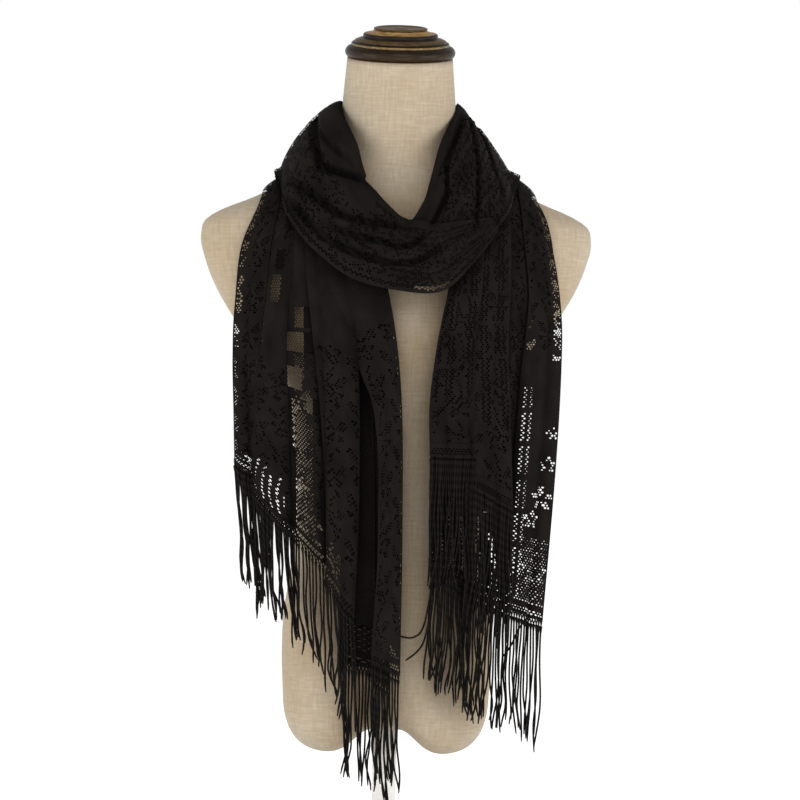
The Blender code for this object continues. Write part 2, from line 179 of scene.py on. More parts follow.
def hand_in(piece, slot, *nodes):
    """The piece rides on the one body and stands for its solids, which are hidden; the slot is not used."""
    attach(piece, "root")
    if nodes:
        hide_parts(*nodes)
    print(piece.name, "-", len(piece.data.vertices), "points")
    return piece


def grid_faces(rows, columns):
    """Quads between the points of a grid that is stored row by row."""
    first = (np.arange(rows - 1)[:, None] * columns + np.arange(columns - 1)).ravel()
    return np.stack([first, first + 1, first + columns + 1, first + columns], axis=1).tolist()


def spline(keys, rows, at):
    """Smooth curve through the rows of a table, read at the given places."""
    keys = np.asarray(keys, float)
    rows = np.asarray(rows, float)
    slopes = np.gradient(rows, keys, axis=0)
    at = np.clip(np.asarray(at, float), keys.min(), keys.max())
    cell = np.clip(np.searchsorted(keys, at, side="right") - 1, 0, len(keys) - 2)
    width = (keys[cell + 1] - keys[cell])
    t = ((at - keys[cell]) / width)[:, None]
    width = width[:, None]
    return ((2 * t ** 3 - 3 * t ** 2 + 1) * rows[cell]
            + (t ** 3 - 2 * t ** 2 + t) * width * slopes[cell]
            + (3 * t ** 2 - 2 * t ** 3) * rows[cell + 1]
            + (t ** 3 - t ** 2) * width * slopes[cell + 1])


# %% [markdown]
# ## Dress form
#
# The form is a foam or papier-mache body under a stretched linen cover. It is smooth, so it could be a
# subdivided cage, but rings of squarish ellipses through a short table of sizes are easier to measure
# and give the same soft shoulders. The two thigh ends are the same rings drawn in and rounded under,
# with a hollow between them.

# %% Form's sizes
FORM_POWER = 2.2               # how square the sections are: 2 is an ellipse
LEAN_START = 740.0             # height above which the neck's rings begin to tilt
LOBE_RIM = 150.0
LOBE_DEPTH = 60.0
NOTCH_RISE = 28.0
NOTCH_FLAT = 13.0
NOTCH_SPREAD = 24.0
NECK_TILT = math.radians(10)

# Columns: height, half width, y of the front, y of the back.
FORM_SECTIONS = [
    (791, 53.0, -75, 31),
    (768, 55.0, -72, 37),
    (740, 57.5, -68, 46),
    (715, 60.5, -64, 54),
    (697, 68.0, -61, 62),
    (682, 86.0, -61, 69),
    (669, 108.0, -63, 75),
    (657, 128.0, -66, 79),
    (647, 149.0, -69, 82),
    (637, 174.0, -73, 85),
    (627, 191.0, -77, 87),
    (610, 197.0, -83, 90),
    (585, 192.0, -90, 93),
    (560, 182.0, -96, 95),
    (525, 161.0, -100, 94),
    (485, 131.0, -101, 90),
    (440, 107.0, -95, 82),
    (380, 96.0, -85, 73),
    (325, 94.0, -81, 71),
    (280, 98.0, -83, 75),
    (230, 105.0, -89, 84),
    (190, 106.0, -91, 87),
    (LOBE_RIM, 104.0, -88, 84),
]
form_table = np.array(FORM_SECTIONS[::-1], float)
print("form:", len(form_table), "sections up to", FORM_SECTIONS[0][0], "mm")

# %% [markdown]
# Linen for such covers is a plain weave of about twenty threads to the centimetre. Half a millimetre is
# too fine to show at a millimetre a pixel, so what the eye gets is the slub: short thicker stretches of
# yarn, 10 to 30 mm long, along both directions of the cloth. Two stretched noises draw them, and a much
# larger one makes the cloth a little warmer and cooler in places. Painted shade darkens the linen's colour
# close under the shawl. The cover's seam is at the middle of the back, where the two ends of the UV map
# meet.

# %% Linen
SHADE_REACH = 0.05             # how far the painted shade under the shawl reaches over the linen, in metres
linen, tree, shader = new_finish("Woven linen", Roughness=0.9, Specular_IOR_Level=0.25,
                                 Sheen_Weight=0.12, Sheen_Roughness=0.5)
flat_place = add_node(tree, "UVMap", uv_map="cloth").outputs[0]
weft = stretched_noise(tree, flat_place, (50, 420, 1)).outputs[0]
warp = stretched_noise(tree, flat_place, (460, 45, 1)).outputs[0]
slub = add_node(tree, "Math", {0: weft, 1: warp}, operation="ADD").outputs[0]
slub = add_node(tree, "Math", {0: slub, 1: 0.5}, operation="MULTIPLY").outputs[0]
yarn_tones = [(0.36, "#a19581"), (0.5, "#ab9d89"), (0.64, "#b3a793")]
yarn = add_node(tree, "ValToRGB", {"Fac": slub}, yarn_tones).outputs[0]
cloudy = stretched_noise(tree, flat_place, (9, 9, 1), 2.0).outputs[0]
warmth = add_node(tree, "ValToRGB", {"Fac": cloudy}, [(0.35, "#f4ecdf"), (0.65, "#ffffff")]).outputs[0]
dyed = add_node(tree, "Mix", {0: 1.0, 6: yarn, 7: warmth}, **TINTED).outputs[2]
# Painted shade: the linen's colour is darker close under the shawl.
shaded = painted_fold_shade(tree, dyed, SHADE_REACH, "#a8a199")
dress(tree, shader, shaded, slub, strength=0.15, depth=0.0006)
print("linen:", len(tree.nodes), "nodes")

# %% Form
FORM_SIDES = 160
FORM_STEP = 5.0                # between rings, above the thigh ends
LOBE_STEPS = 28


def form_ring(section, turns):
    """One squarish ring, flat; section holds its half width, front and back."""
    half, front, back = section
    across = np.sign(np.cos(turns)) * np.abs(np.cos(turns)) ** (2 / FORM_POWER)
    deep = np.sign(np.sin(turns)) * np.abs(np.sin(turns)) ** (2 / FORM_POWER)
    return np.stack([half * across, (front + back) / 2 + (back - front) / 2 * deep], axis=1)


def build_form():
    """The torso as rings: the thigh ends rounded under, then up to the tilted top of the neck."""
    turns = np.linspace(0.5 * math.pi, 2.5 * math.pi, FORM_SIDES + 1)
    levels = np.arange(LOBE_RIM, form_table[-1, 0] + FORM_STEP / 2, FORM_STEP)
    levels[-1] = form_table[-1, 0]
    sections = spline(form_table[:, 0], form_table[:, 1:], levels)
    rings = []
    for share in np.sin(np.linspace(0.06, math.pi / 2 * 0.985, LOBE_STEPS)):
        flat = form_ring(sections[0], turns) * share
        rise = LOBE_RIM - LOBE_DEPTH * math.sqrt(1 - share ** 6)
        apart = np.clip(np.abs(flat[:, 0]) - NOTCH_FLAT, 0, None) / NOTCH_SPREAD
        height = rise + NOTCH_RISE * np.exp(-apart ** 2) * (1 - share ** 6)
        rings.append(np.column_stack([flat, height]))
    for section, level in zip(sections, levels):
        flat = form_ring(section, turns)
        lean = max(0.0, level - LEAN_START) / (levels[-1] - LEAN_START) * math.tan(NECK_TILT)
        height = level + lean * (flat[:, 1] - (section[1] + section[2]) / 2)
        rings.append(np.column_stack([flat, height]))
    points = np.array(rings)
    steps = np.linalg.norm(np.diff(points, axis=1), axis=2)
    round_mm = np.concatenate([np.zeros((len(points), 1)), np.cumsum(steps, axis=1)], axis=1)
    round_mm -= round_mm[:, -1:] / 2
    up = np.linalg.norm(np.diff(points, axis=0), axis=2).mean(axis=1)
    up_mm = np.concatenate([[0], np.cumsum(up)])[:, None]
    uv = np.stack(np.broadcast_arrays(round_mm, up_mm), axis=2).reshape(-1, 2)
    faces = grid_faces(*points.shape[:2])
    count = FORM_SIDES + 1
    faces.append(list(range(FORM_SIDES))[::-1])
    faces.append([(len(points) - 1) * count + i for i in range(FORM_SIDES)])
    return make_piece("linen_form", points.reshape(-1, 3), faces, linen, uv)


form = hand_in(build_form(), "linen", "form_body")

# %% [markdown]
# ## Neck cap
#
# The cap is turned on a lathe from one piece of wood, stained dark, gilded in its hollows and varnished.
# A profile turned about its own axis is how the real one was made, and here the Screw modifier is the
# lathe. The finish follows the height on that axis: worn gold lies in the coves and dark stain on the
# beads, with a little unevenness from the hand that wiped it. The wood's grain runs straight across the
# blank, so it shows as fine level streaks.

# %% Varnished wood
CAP_HEIGHT = 30.4
CAP_BANDS = [                  # height on the cap's axis, colour up to the next one
    (0.0, "#3f2a12"),
    (2.5, "#34240f"),
    (9.0, "#271a0c"),
    (12.2, "#1d1108"),
    (13.0, "#927a50"),
    (14.2, "#846d45"),
    (14.9, "#0c0805"),
    (15.9, "#0c0805"),
    (17.3, "#513f22"),
    (19.4, "#5a4829"),
    (20.3, "#1a120b"),
    (24.4, "#22170d"),
    (25.0, "#a4824f"),
    (27.4, "#b08c58"),
    (28.0, "#1c120a"),
    (29.3, "#5c4526"),
]
wood, tree, shader = new_finish("Varnished turned wood", Roughness=0.45, IOR=1.45,
                                Specular_IOR_Level=0.15, Coat_Weight=0.1, Coat_Roughness=0.2)
own_place = add_node(tree, "TexCoord").outputs["Object"]
wiped = stretched_noise(tree, own_place, (60, 60, 400)).outputs[0]
height = add_node(tree, "SeparateXYZ", {0: own_place}).outputs[2]
shift = add_node(tree, "MapRange", {0: wiped, 3: -0.0004, 4: 0.0004}).outputs[0]
height = add_node(tree, "Math", {0: height, 1: shift}, operation="ADD").outputs[0]
share = add_node(tree, "Math", {0: height, 1: CAP_HEIGHT * MM}, operation="DIVIDE").outputs[0]
tones = [(place / CAP_HEIGHT, tone) for place, tone in CAP_BANDS]
bands = add_node(tree, "ValToRGB", {"Fac": share}, tones).outputs[0]
grain = stretched_noise(tree, own_place, (90, 500, 900), 5.0).outputs[0]
streaks = add_node(tree, "ValToRGB", {"Fac": grain}, [(0.35, "#a89a8a"), (0.62, "#ffffff")]).outputs[0]
stained = add_node(tree, "Mix", {0: 1.0, 6: bands, 7: streaks}, **TINTED).outputs[2]
dress(tree, shader, stained, grain, strength=0.15, depth=0.0004)
print("wood:", len(CAP_BANDS), "bands over", CAP_HEIGHT, "mm")

# %% Turned pieces
# Radius and height of each point of the outline, from the foot up.
CAP_PROFILE = [
    (0.0, 0.0), (50.0, 0.0), (52.4, 0.6), (54.3, 2.0), (55.4, 4.2), (55.5, 6.4),
    (54.6, 8.8), (53.0, 10.6), (51.0, 11.8), (49.4, 12.2), (49.0, 12.5), (49.4, 13.2),
    (49.3, 14.4), (48.6, 15.4), (47.4, 15.9), (46.6, 15.9), (46.2, 16.2), (46.3, 17.0),
    (45.6, 17.7), (42.4, 19.1), (39.0, 20.0), (37.2, 20.2), (37.0, 20.5), (37.6, 21.4),
    (37.7, 22.6), (37.2, 23.8), (36.0, 24.6), (35.0, 24.8), (34.4, 24.9), (31.0, 25.5),
    (28.4, 26.5), (26.8, 27.6), (26.2, 28.0), (26.6, 28.3), (27.2, 28.9), (26.9, 29.7),
    (25.6, 30.3), (23.5, 30.3), (21.5, 29.4), (12.0, 29.0), (8.0, 29.4), (5.5, 30.0),
    (0.0, 30.1),
]
TURNED_STEPS = 128
GAP = 0.3                      # between the cap and the neck


def turned(name, profile, finish):
    """A turned piece: half its outline, swept round the upright axis."""
    mesh = bpy.data.meshes.new(name)
    outline = [(radius * MM, 0, height * MM) for radius, height in profile]
    mesh.from_pydata(outline, [(i, i + 1) for i in range(len(outline) - 1)], [])
    mesh.materials.append(finish)
    piece = bpy.data.objects.new(name, mesh)
    bpy.context.scene.collection.objects.link(piece)
    lathe = piece.modifiers.new("Lathe", "SCREW")
    lathe.steps = TURNED_STEPS
    lathe.render_steps = TURNED_STEPS
    lathe.use_merge_vertices = True
    lathe.merge_threshold = 0.00001
    lathe.use_smooth_shade = True
    return piece


cap = turned("turned_cap", CAP_PROFILE, wood)
top = FORM_SECTIONS[0]
cap.location = (0, (top[2] + top[3]) / 2 * MM, (top[0] + GAP) * MM)
cap.rotation_euler = (NECK_TILT, 0, 0)
hand_in(cap, "wood", "neck_cap")

# %% [markdown]
# ## Stand
#
# The stand is the plainest that the form needs: a tube in a round plate. It is sheet steel and tube,
# blasted and powder coated white, which gives a soft satin with a faint orange peel about 2 mm across.

# %% Powder coated steel
steel, tree, shader = new_finish("White powder coated steel", Roughness=0.42, IOR=1.5)
own_place = add_node(tree, "TexCoord").outputs["Object"]
peel = stretched_noise(tree, own_place, (500, 500, 500), 1.0).outputs[0]
coat = add_node(tree, "ValToRGB", {"Fac": peel}, [(0.3, "#e6e4e0"), (0.7, "#efeeea")]).outputs[0]
dress(tree, shader, coat, peel, strength=0.1, depth=0.0003)

# %% Base and tube
BASE_PROFILE = [(0, 0), (138.6, 0), (139.6, 0.4), (140, 1.2), (140, 4.4), (139.6, 5.2), (138.4, 5.7),
                (130, 5.9), (40, 6.0), (0, 6.0)]
POLE_PROFILE = [(0, 6.3), (11.6, 6.3), (12, 6.7), (12, 117.3), (11.6, 117.7), (0, 117.7)]
hand_in(turned("round_base", BASE_PROFILE, steel), "steel", "stand_base")
hand_in(turned("stand_tube", POLE_PROFILE, steel), "steel", "stand_pole")

# %% [markdown]
# ## How the shawl hangs
#
# The shawl is one rectangle of soft knitted lace. It passes once round the neck as a loose loop, and both
# ends hang in front as tails. A cloth simulation could drape it, but it would fall another way each time a
# size changed, so each stretch is drawn from measured sections, like a tailor's paper pattern, and pushed
# clear of the form. The tables below are those of the solids.

# %% Sizes of the shawl
# Columns: place along the tail, outer edge x, y, z, inner edge x, y, z, bow outwards.
LEFT_TAIL = [
    (0.00, -4, 90, 655, -4, 58, 706, 0),
    (0.12, -64, 82, 645, -48, 46, 706, 3),
    (0.25, -126, 6, 661, -64, 2, 700, 3),
    (0.34, -135, -46, 633, -46, -70, 662, 5),
    (0.42, -151, -62, 604, -22, -97, 606, 6),
    (0.55, -158, -66, 540, -3, -110, 540, 12),
    (0.70, -159, -67, 484, 9, -114, 450, 16),
    (0.85, -157, -67, 426, 13, -114, 320, 14),
    (1.00, -155, -66, 370, 14, -113, 184, 12),
]
RIGHT_TAIL = [
    (0.00, 4, 90, 655, 4, 58, 706, 0),
    (0.12, 64, 82, 645, 48, 46, 706, 3),
    (0.25, 132, 4, 662, 66, 2, 700, 3),
    (0.34, 143, -40, 638, 64, -68, 662, 5),
    (0.42, 154, -56, 607, 56, -95, 612, 5),
    (0.55, 165, -61, 545, 54, -106, 555, 9),
    (0.70, 167, -63, 480, 44, -110, 480, 12),
    (0.85, 163, -63, 370, 40, -109, 390, 10),
    (1.00, 154, -63, 232, 41, -108, 290, 8),
]
RIGHT_FOLD = [
    (0.00, 112, -68, 642, 62, -88, 632, 3),
    (0.15, 114, -82, 616, 58, -104, 610, 4),
    (0.40, 115, -98, 560, 53, -117, 558, 4),
    (0.60, 114, -107, 500, 43, -121, 503, 4),
    (0.80, 118, -107, 425, 37, -122, 448, 4),
    (1.00, 122, -106, 345, 38, -121, 402, 4),
]
# Columns: place round, upper edge x, y, z, lower edge x, y, z, bulge outwards, folds' depth.
LOOP_SECTIONS = [
    (0.00, -57, -14, 746, -118, 6, 668, 14, 1.0),
    (0.06, -54, -46, 729, -115, -52, 649, 14, 1.5),
    (0.13, -41, -74, 701, -107, -86.5, 626, 12, 2.5),
    (0.20, -30, -92.5, 666, -78, -118, 592, 9, 3.5),
    (0.26, -10, -104, 640, -40, -131, 566, 7, 4.0),
    (0.31, 10, -109, 625, 2, -135, 556, 6, 4.0),
    (0.36, 24, -104, 644, 44, -137, 555, 6, 4.0),
    (0.42, 31, -92, 666, 76, -131, 584, 7, 3.5),
    (0.48, 40, -74, 700, 99, -114, 615, 8, 2.5),
    (0.54, 50, -46, 724, 114, -88, 640, 6, 1.5),
    (0.60, 58, -14, 746, 118, 4, 668, 5, 1.0),
    (0.68, 52, 26, 743, 110, 70, 654, 7, 1.5),
    (0.74, 30, 46, 740, 66, 104, 638, 10, 2.5),
    (0.80, 0, 54, 738, 0, 114, 632, 9, 3.0),
    (0.86, -30, 46, 740, -66, 104, 638, 10, 2.5),
    (0.92, -52, 26, 743, -110, 70, 654, 13, 1.5),
    (1.00, -57, -14, 746, -118, 6, 668, 14, 1.0),
]
# Columns: place across, half width as a share of the width, depth at the chest, depth at the hem.
LEFT_FOLDS = [
    (0.10, 0.050, 2, 6),
    (0.37, 0.055, 3, 7),
    (0.57, 0.050, 2, 6),
    (0.76, 0.070, 4, 10),
]
RIGHT_FOLDS = [
    (0.14, 0.070, 3, 6),
    (0.38, 0.070, 3, 6),
    (0.72, 0.080, 1, 4),
]
FRONT_FOLDS = [
    (0.22, 0.080, 1, 3),
    (0.52, 0.080, 1, 4),
    (0.80, 0.070, 1, 3),
]
FOLD_START = 0.30              # place along a tail at which its folds begin to open
LEFT = {"sections": LEFT_TAIL, "folds": LEFT_FOLDS, "side": -1, "clear": 3.8}
RIGHT = {"sections": RIGHT_TAIL, "folds": RIGHT_FOLDS, "side": 1, "clear": 2.8}
FRONT = {"sections": RIGHT_FOLD, "folds": FRONT_FOLDS, "side": 1, "clear": 9.0}
LOOP_CLEAR = [(0.0, 1.5), (0.3, 12.0), (1.0, 12.0)]    # place across, gap to the form
LOOP_CROWN = 0.6               # under 1, so the loop's section is fuller than an arch


# %% Clear of the form
PUSHES = 8                     # each one comes closer to the gap asked for
LONGEST_PUSH = 6.0


def form_reach(points):
    """1 on the form's skin, less inside it and more outside."""
    half, front, back = spline(form_table[:, 0], form_table[:, 1:], points[:, 2]).T
    across = np.abs(points[:, 0]) / half
    deep = np.abs(points[:, 1] - (front + back) / 2) / ((back - front) / 2)
    return (across ** FORM_POWER + deep ** FORM_POWER) ** (1 / FORM_POWER)


def clear_of_form(points, gap):
    """Moves the points that are nearer the form's skin than the gap straight out to it."""
    points = points.copy()
    for _ in range(PUSHES):
        reach = form_reach(points)
        slope = np.stack([form_reach(points + step) - reach for step in np.eye(3)], axis=1)
        steep = np.linalg.norm(slope, axis=1, keepdims=True) + 1e-9
        distance = (reach[:, None] - 1) / steep
        points += np.clip(gap - distance, 0, LONGEST_PUSH) * slope / steep
    return points


chest = np.array([[0, -100, 560.0]])
print("12 mm clear of the chest:", clear_of_form(chest, 12.0).round(1).tolist())

# %% Reading a surface
def grid_normals(grid):
    """Unit normals of a grid of points."""
    normal = np.cross(np.gradient(grid, axis=1), np.gradient(grid, axis=0))
    return normal / (np.linalg.norm(normal, axis=2, keepdims=True) + 1e-9)


def trough(distance):
    """1 in the middle of a fold, easing to 0 at its half width."""
    return np.where(np.abs(distance) < 1, 0.5 + 0.5 * np.cos(np.pi * np.clip(distance, -1, 1)), 0)


def read_grid(grid, along, across):
    """Reads a grid of points between its rows and columns; both places run from 0 to 1."""
    rows, columns = grid.shape[:2]
    a = np.clip(along, 0, 1) * (rows - 1)
    b = np.clip(across, 0, 1) * (columns - 1)
    i = np.minimum(a.astype(int), rows - 2)
    j = np.minimum(b.astype(int), columns - 2)
    a = (a - i)[:, None]
    b = (b - j)[:, None]
    upper = grid[i, j] * (1 - b) + grid[i, j + 1] * b
    lower = grid[i + 1, j] * (1 - b) + grid[i + 1, j + 1] * b
    return upper * (1 - a) + lower * a


# %% Cloth as a surface
SURFACE_ROWS = 321
SURFACE_COLUMNS = 161


def tail_surface(shape):
    """The middle of a tail's wall and its outward normals, as two dense grids."""
    along = np.linspace(0, 1, SURFACE_ROWS)
    across = np.linspace(0, 1, SURFACE_COLUMNS)
    table = np.array(shape["sections"], float)
    rows = spline(table[:, 0], table[:, 1:], along)
    f = across[None, :, None]
    grid = rows[:, None, 0:3] * (1 - f) + rows[:, None, 3:6] * f
    out = grid_normals(grid) * shape["side"]
    bow = rows[:, 6][:, None] * 4 * f[:, :, 0] * (1 - f[:, :, 0])
    down = np.clip((along - FOLD_START) / (1 - FOLD_START), 0, 1)[:, None]
    for place, half, chest, low in shape["folds"]:
        depth = (chest + (low - chest) * down) * np.sqrt(down)
        bow = bow - depth * trough((f[:, :, 0] - place) / half)
    grid = grid + out * bow[:, :, None]
    grid = clear_of_form(grid.reshape(-1, 3), shape["clear"]).reshape(grid.shape)
    return grid, grid_normals(grid) * shape["side"]


def loop_surface():
    """The same for the loop round the neck, over a whole turn of it."""
    along = np.linspace(0, 1, SURFACE_ROWS * 2 - 1)
    across = np.linspace(0, 1, SURFACE_COLUMNS)
    table = np.array(LOOP_SECTIONS, float)
    turn = np.eye(1, table.shape[1])
    table = np.concatenate([table[-3:-1] - turn, table, table[1:3] + turn])
    rows = spline(table[:, 0], table[:, 1:], along)
    v = across[None, :, None]
    grid = rows[:, None, 0:3] * (1 - v) + rows[:, None, 3:6] * v
    out = grid_normals(grid)
    bulge = rows[:, 6][:, None] * (4 * v[:, :, 0] * (1 - v[:, :, 0])) ** LOOP_CROWN
    grid = grid + out * bulge[:, :, None]
    gap = np.tile(np.interp(across, *zip(*LOOP_CLEAR)), len(along))[:, None]
    grid = clear_of_form(grid.reshape(-1, 3), gap).reshape(grid.shape)
    return grid, grid_normals(grid)


def even_places(grid):
    """The places along a surface that are evenly spaced on the cloth, and the cloth's length there."""
    middle = grid[:, grid.shape[1] // 2]
    steps = np.linalg.norm(np.diff(middle, axis=0), axis=1)
    travelled = np.concatenate([[0], np.cumsum(steps)])
    return travelled / travelled[-1], travelled[-1]


# %% [markdown]
# ## Black lace
#
# The cloth is raschel-knitted lace of fine polyester yarn, dyed black. Its ground is a net of small
# hexagons, and motifs are made by closing or opening single meshes of that net, row by row, from a chart.
# The model is knitted the same way: a honeycomb of cells follows the draped surface, and a chart says of
# each cell whether it is closed or has a hole, and how large. So the holes are real and the form or the
# light behind shows through them. The real net has a mesh of about 2.5 mm, and it is 2.7 mm here.
#
# The yarn is matt, soft black with a brownish cast, and only fold edges catch a faint sheen. Its single
# stitches are about 1 mm and show as a fine bump in the closed parts, drawn nearly twice as wide so that
# they show at all. The colour carries painted shade: it is darker where other cloth stands close around,
# so the folds read deeper.

# %% Lace yarn
LACE_SHADE_REACH = 0.03              # how far the painted shade in the lace's folds reaches, in metres
lace, tree, shader = new_finish("Knitted polyester lace", Roughness=0.8, Specular_IOR_Level=0.05,
                                Sheen_Weight=0.02, Sheen_Roughness=0.4, Sheen_Tint=linear("#b8a8a0"))
flat_place = add_node(tree, "UVMap", uv_map="cloth").outputs[0]
# Bands of a wave texture lie 0.314 m apart at scale 1: here a wale is 2.0 mm and a course 1.7 mm.
knitted = {"Vector": flat_place, "Distortion": 1.5, "Detail": 1.0}
wales = add_node(tree, "TexWave", {**knitted, "Scale": 160.0}, bands_direction="X").outputs[1]
courses = add_node(tree, "TexWave", {**knitted, "Scale": 190.0}, bands_direction="Y").outputs[1]
stitches = add_node(tree, "Math", {0: wales, 1: courses}, operation="MULTIPLY").outputs[0]
uneven = stretched_noise(tree, flat_place, (60, 25, 1)).outputs[0]
black = add_node(tree, "ValToRGB", {"Fac": uneven}, [(0.35, "#100d0c"), (0.65, "#191513")]).outputs[0]
# Painted shade: the lace's colour is darker where other cloth stands close around.
painted_shade_black = painted_fold_shade(tree, black, LACE_SHADE_REACH, "#525252")
dress(tree, shader, painted_shade_black, stitches, strength=0.4, depth=0.0005)

# %% Cord
cord, tree, shader = new_finish("Twisted polyester cord", Roughness=0.7, Specular_IOR_Level=0.08)
flat_place = add_node(tree, "UVMap", uv_map="cloth").outputs[0]
# The plies run slantwise round the cord, with a band in every 8 mm of it.
plies = add_node(tree, "TexWave", {"Vector": flat_place, "Scale": 80.0},
                 bands_direction="DIAGONAL").outputs[1]
black = add_node(tree, "ValToRGB", {"Fac": plies}, [(0.2, "#0a0807"), (0.9, "#171311")]).outputs[0]
dress(tree, shader, black, plies, strength=0.5, depth=0.0004)
print("lace and cord: finishes made")

# %% Honeycomb of cells
PITCH = 2.7                    # between meshes of the net
ROW_PITCH = PITCH * math.sqrt(3) / 2
# Corners of a cell from its middle: in half columns, and in thirds of a row.
HEXAGON = np.array([(0, -2), (1, -1), (1, 1), (0, 2), (-1, 1), (-1, -1)])


def honeycomb(columns, rows):
    """Corners of a honeycomb over a unit square, each cell's six corners, and the cells' middles."""
    row, column = np.divmod(np.arange(rows * (columns + 1)), columns + 1)
    whole = (row % 2 == 1) | (column < columns)
    row, column = row[whole], column[whole]
    middle = np.stack([2 * column + 1 - row % 2, 3 * row + 2], axis=1)
    corners = middle[:, None, :] + HEXAGON
    x = np.clip(corners[:, :, 0], 0, 2 * columns)
    last = 3 * rows + 1
    y = corners[:, :, 1]
    y = np.where(y <= 1, 0, np.where(y >= last - 1, last, y))
    number, cells = np.unique(x * (last + 1) + y, return_inverse=True)
    spots = np.stack([number // (last + 1) / (2 * columns), number % (last + 1) / last], axis=1)
    return spots, cells.reshape(x.shape), middle / (2 * columns, last)


print("corners and meshes in ten rows of ten:", *[len(part) for part in honeycomb(10, 10)[:2]])

# %% Lining behind the lace
LINING_PITCH = 6.0             # plain cloth needs fewer points than lace
LINING_GAP = 1.8               # far enough behind that the holes look deep


def lining(panel, stretch):
    """Plain cloth just behind a stretch of a panel: its ends across, then along, as shares."""
    first, last, top, low = stretch
    wide, long = panel["size"]
    across = np.linspace(first, last, max(3, round((last - first) * wide / LINING_PITCH)))
    down = np.linspace(top, low, max(3, round((low - top) * long / LINING_PITCH)))
    t, w = [places.ravel() for places in np.meshgrid(across, down)]
    points = panel["place"](t, w, LINING_GAP)
    return points, np.stack([t * wide, w * long], axis=1), grid_faces(len(down), len(across))


# %% Knit a piece
SELVAGE = 0.9                  # the outermost column of meshes is closed


def knit_panels(name, panels, finish):
    """One piece of lace from panels, each with its place function, flat size and chart of holes."""
    all_points = []
    all_uv = []
    all_faces = []
    count = 0
    for panel in panels:
        wide, long = panel["size"]
        columns = max(3, round(wide / PITCH))
        rows = max(3, round(long / ROW_PITCH))
        spots, cells, middles = honeycomb(columns, rows)
        points = panel["place"](spots[:, 0], spots[:, 1])
        uv = spots * (wide, long)
        t, w = middles.T
        holes = panel["chart"](t, w, t * wide, (1 - w) * long)
        edge = (t < SELVAGE / columns) | (t > 1 - SELVAGE / columns)
        holes = np.where(edge, 0, holes)
        opened = np.flatnonzero(holes > 0)
        faces = (cells[holes <= 0] + count).tolist()
        rim = cells[opened]
        share = holes[opened][:, None, None]
        centre = points[rim].mean(axis=1, keepdims=True)
        inner = centre + (points[rim] - centre) * share
        centre_uv = uv[rim].mean(axis=1, keepdims=True)
        inner_uv = centre_uv + (uv[rim] - centre_uv) * share
        inner_at = len(points) + np.arange(rim.size).reshape(rim.shape)
        ahead = np.roll(rim, -1, axis=1)
        inner_ahead = np.roll(inner_at, -1, axis=1)
        faces += (np.stack([rim, ahead, inner_ahead, inner_at], axis=2).reshape(-1, 4) + count).tolist()
        all_points += [points, inner.reshape(-1, 3)]
        all_uv += [uv + (panel["start"], 0), inner_uv.reshape(-1, 2) + (panel["start"], 0)]
        all_faces += faces
        count += len(points) + rim.size
        for stretch in panel["lined"]:
            points, uv, faces = lining(panel, stretch)
            all_points.append(points)
            all_uv.append(uv + (panel["start"], 0))
            all_faces += (np.array(faces) + count).tolist()
            count += len(points)
    piece = make_piece(name, np.concatenate(all_points), all_faces, finish, np.concatenate(all_uv))
    print(name, "holes:", sum(len(face) == 4 for face in all_faces) // 6)
    return piece


# %% [markdown]
# ### The lace chart
#
# A chart gives the hole of each mesh as a share of its width: 0 is a closed stitch, 0.5 a small dot, and
# 0.8 open net. It is asked with t and w, the mesh's place across and along its panel as shares, and with
# u and v, its millimetres from the panel's edge and up from the hem. The motifs are the usual ones of
# such lace: a five-petalled flower, pointed leaves, lengthwise ladders and a border of eyelets above the
# hem. A drape pulls the meshes unevenly, so their holes vary. Most of the shawl lies double, so its
# openwork reads as dark dots, and light comes through only at the outer pleats, in the ladders and above
# the hem.

# %% Sizes of the holes
PANE = 0.86                    # net pulled wide open
NET = 0.78
BIG_DOT = 0.74
DOT = 0.62
TULLE = 0.45                   # fine net, through which things show dimly
EYELET = 0.36


def pulled(u, v, least, most):
    """Meshes drawn unevenly by the drape: each one's hole, between two sizes."""
    return least + (most - least) * (np.sin(12.9 * u + 78.2 * v) * 437.5 % 1)


# %% Motifs
def repeat(u, v, wide, high):
    """Where a stitch lies in its repeat of the pattern; every other column is half a repeat lower."""
    column = np.floor(u / wide)
    v = v + (column % 2) * high / 2
    return (u / wide % 1 - 0.5) * wide, (v / high % 1 - 0.5) * high


def petals(u, v, radius):
    """Distance from the middle of a flower of five petals, in shares of its edge."""
    return np.hypot(u, v) / (radius * (0.72 + 0.28 * np.cos(5 * np.arctan2(u, v))))


def leaf(u, v, long, wide, turn):
    """Inside a pointed leaf."""
    x = u * math.cos(turn) + v * math.sin(turn)
    y = v * math.cos(turn) - u * math.sin(turn)
    return np.abs(y) < wide / 2 * (1 - (2 * x / long) ** 2)


def brocade(u, v):
    """Plain cloth with flowers, leaves and trails of small holes."""
    a, b = repeat(u, v, 29, 41)
    bloom = petals(a, b, 12.5)
    marks = ((bloom > 0.68) & (bloom < 1.0)) | (bloom < 0.3)
    marks |= leaf(a - 10, b - 15, 18, 7, 0.9) | leaf(a + 10, b - 15, 18, 7, 2.2)
    trail = np.abs(a + 3 * np.sin(b / 6)) < 1.5
    marks |= trail & (np.abs(b) > 13)
    holes = np.where(bloom < 1, pulled(u, v, 0.5, 0.9), pulled(u, v, 0.35, 0.8))
    return np.where(marks, holes, 0)


def lacy(u, v):
    """Net with closed flowers in it, fading into dotted cloth."""
    a, b = repeat(u, v, 22, 52)
    bloom = petals(a, b, 11)
    net = (np.hypot(a * 1.5, b) < 15) & ((bloom > 0.95) | (bloom < 0.25))
    return np.where(net, pulled(u, v, 0.35, 0.8), np.minimum(brocade(u, v), TULLE))


def open_flower(u, v, radius):
    """Inside the five petals of an open flower, between its closed veins."""
    bloom = petals(u, v, radius)
    return (bloom > 0.3) & (bloom < 1) & (np.abs(np.sin(2.5 * np.arctan2(u, v))) < 0.82)


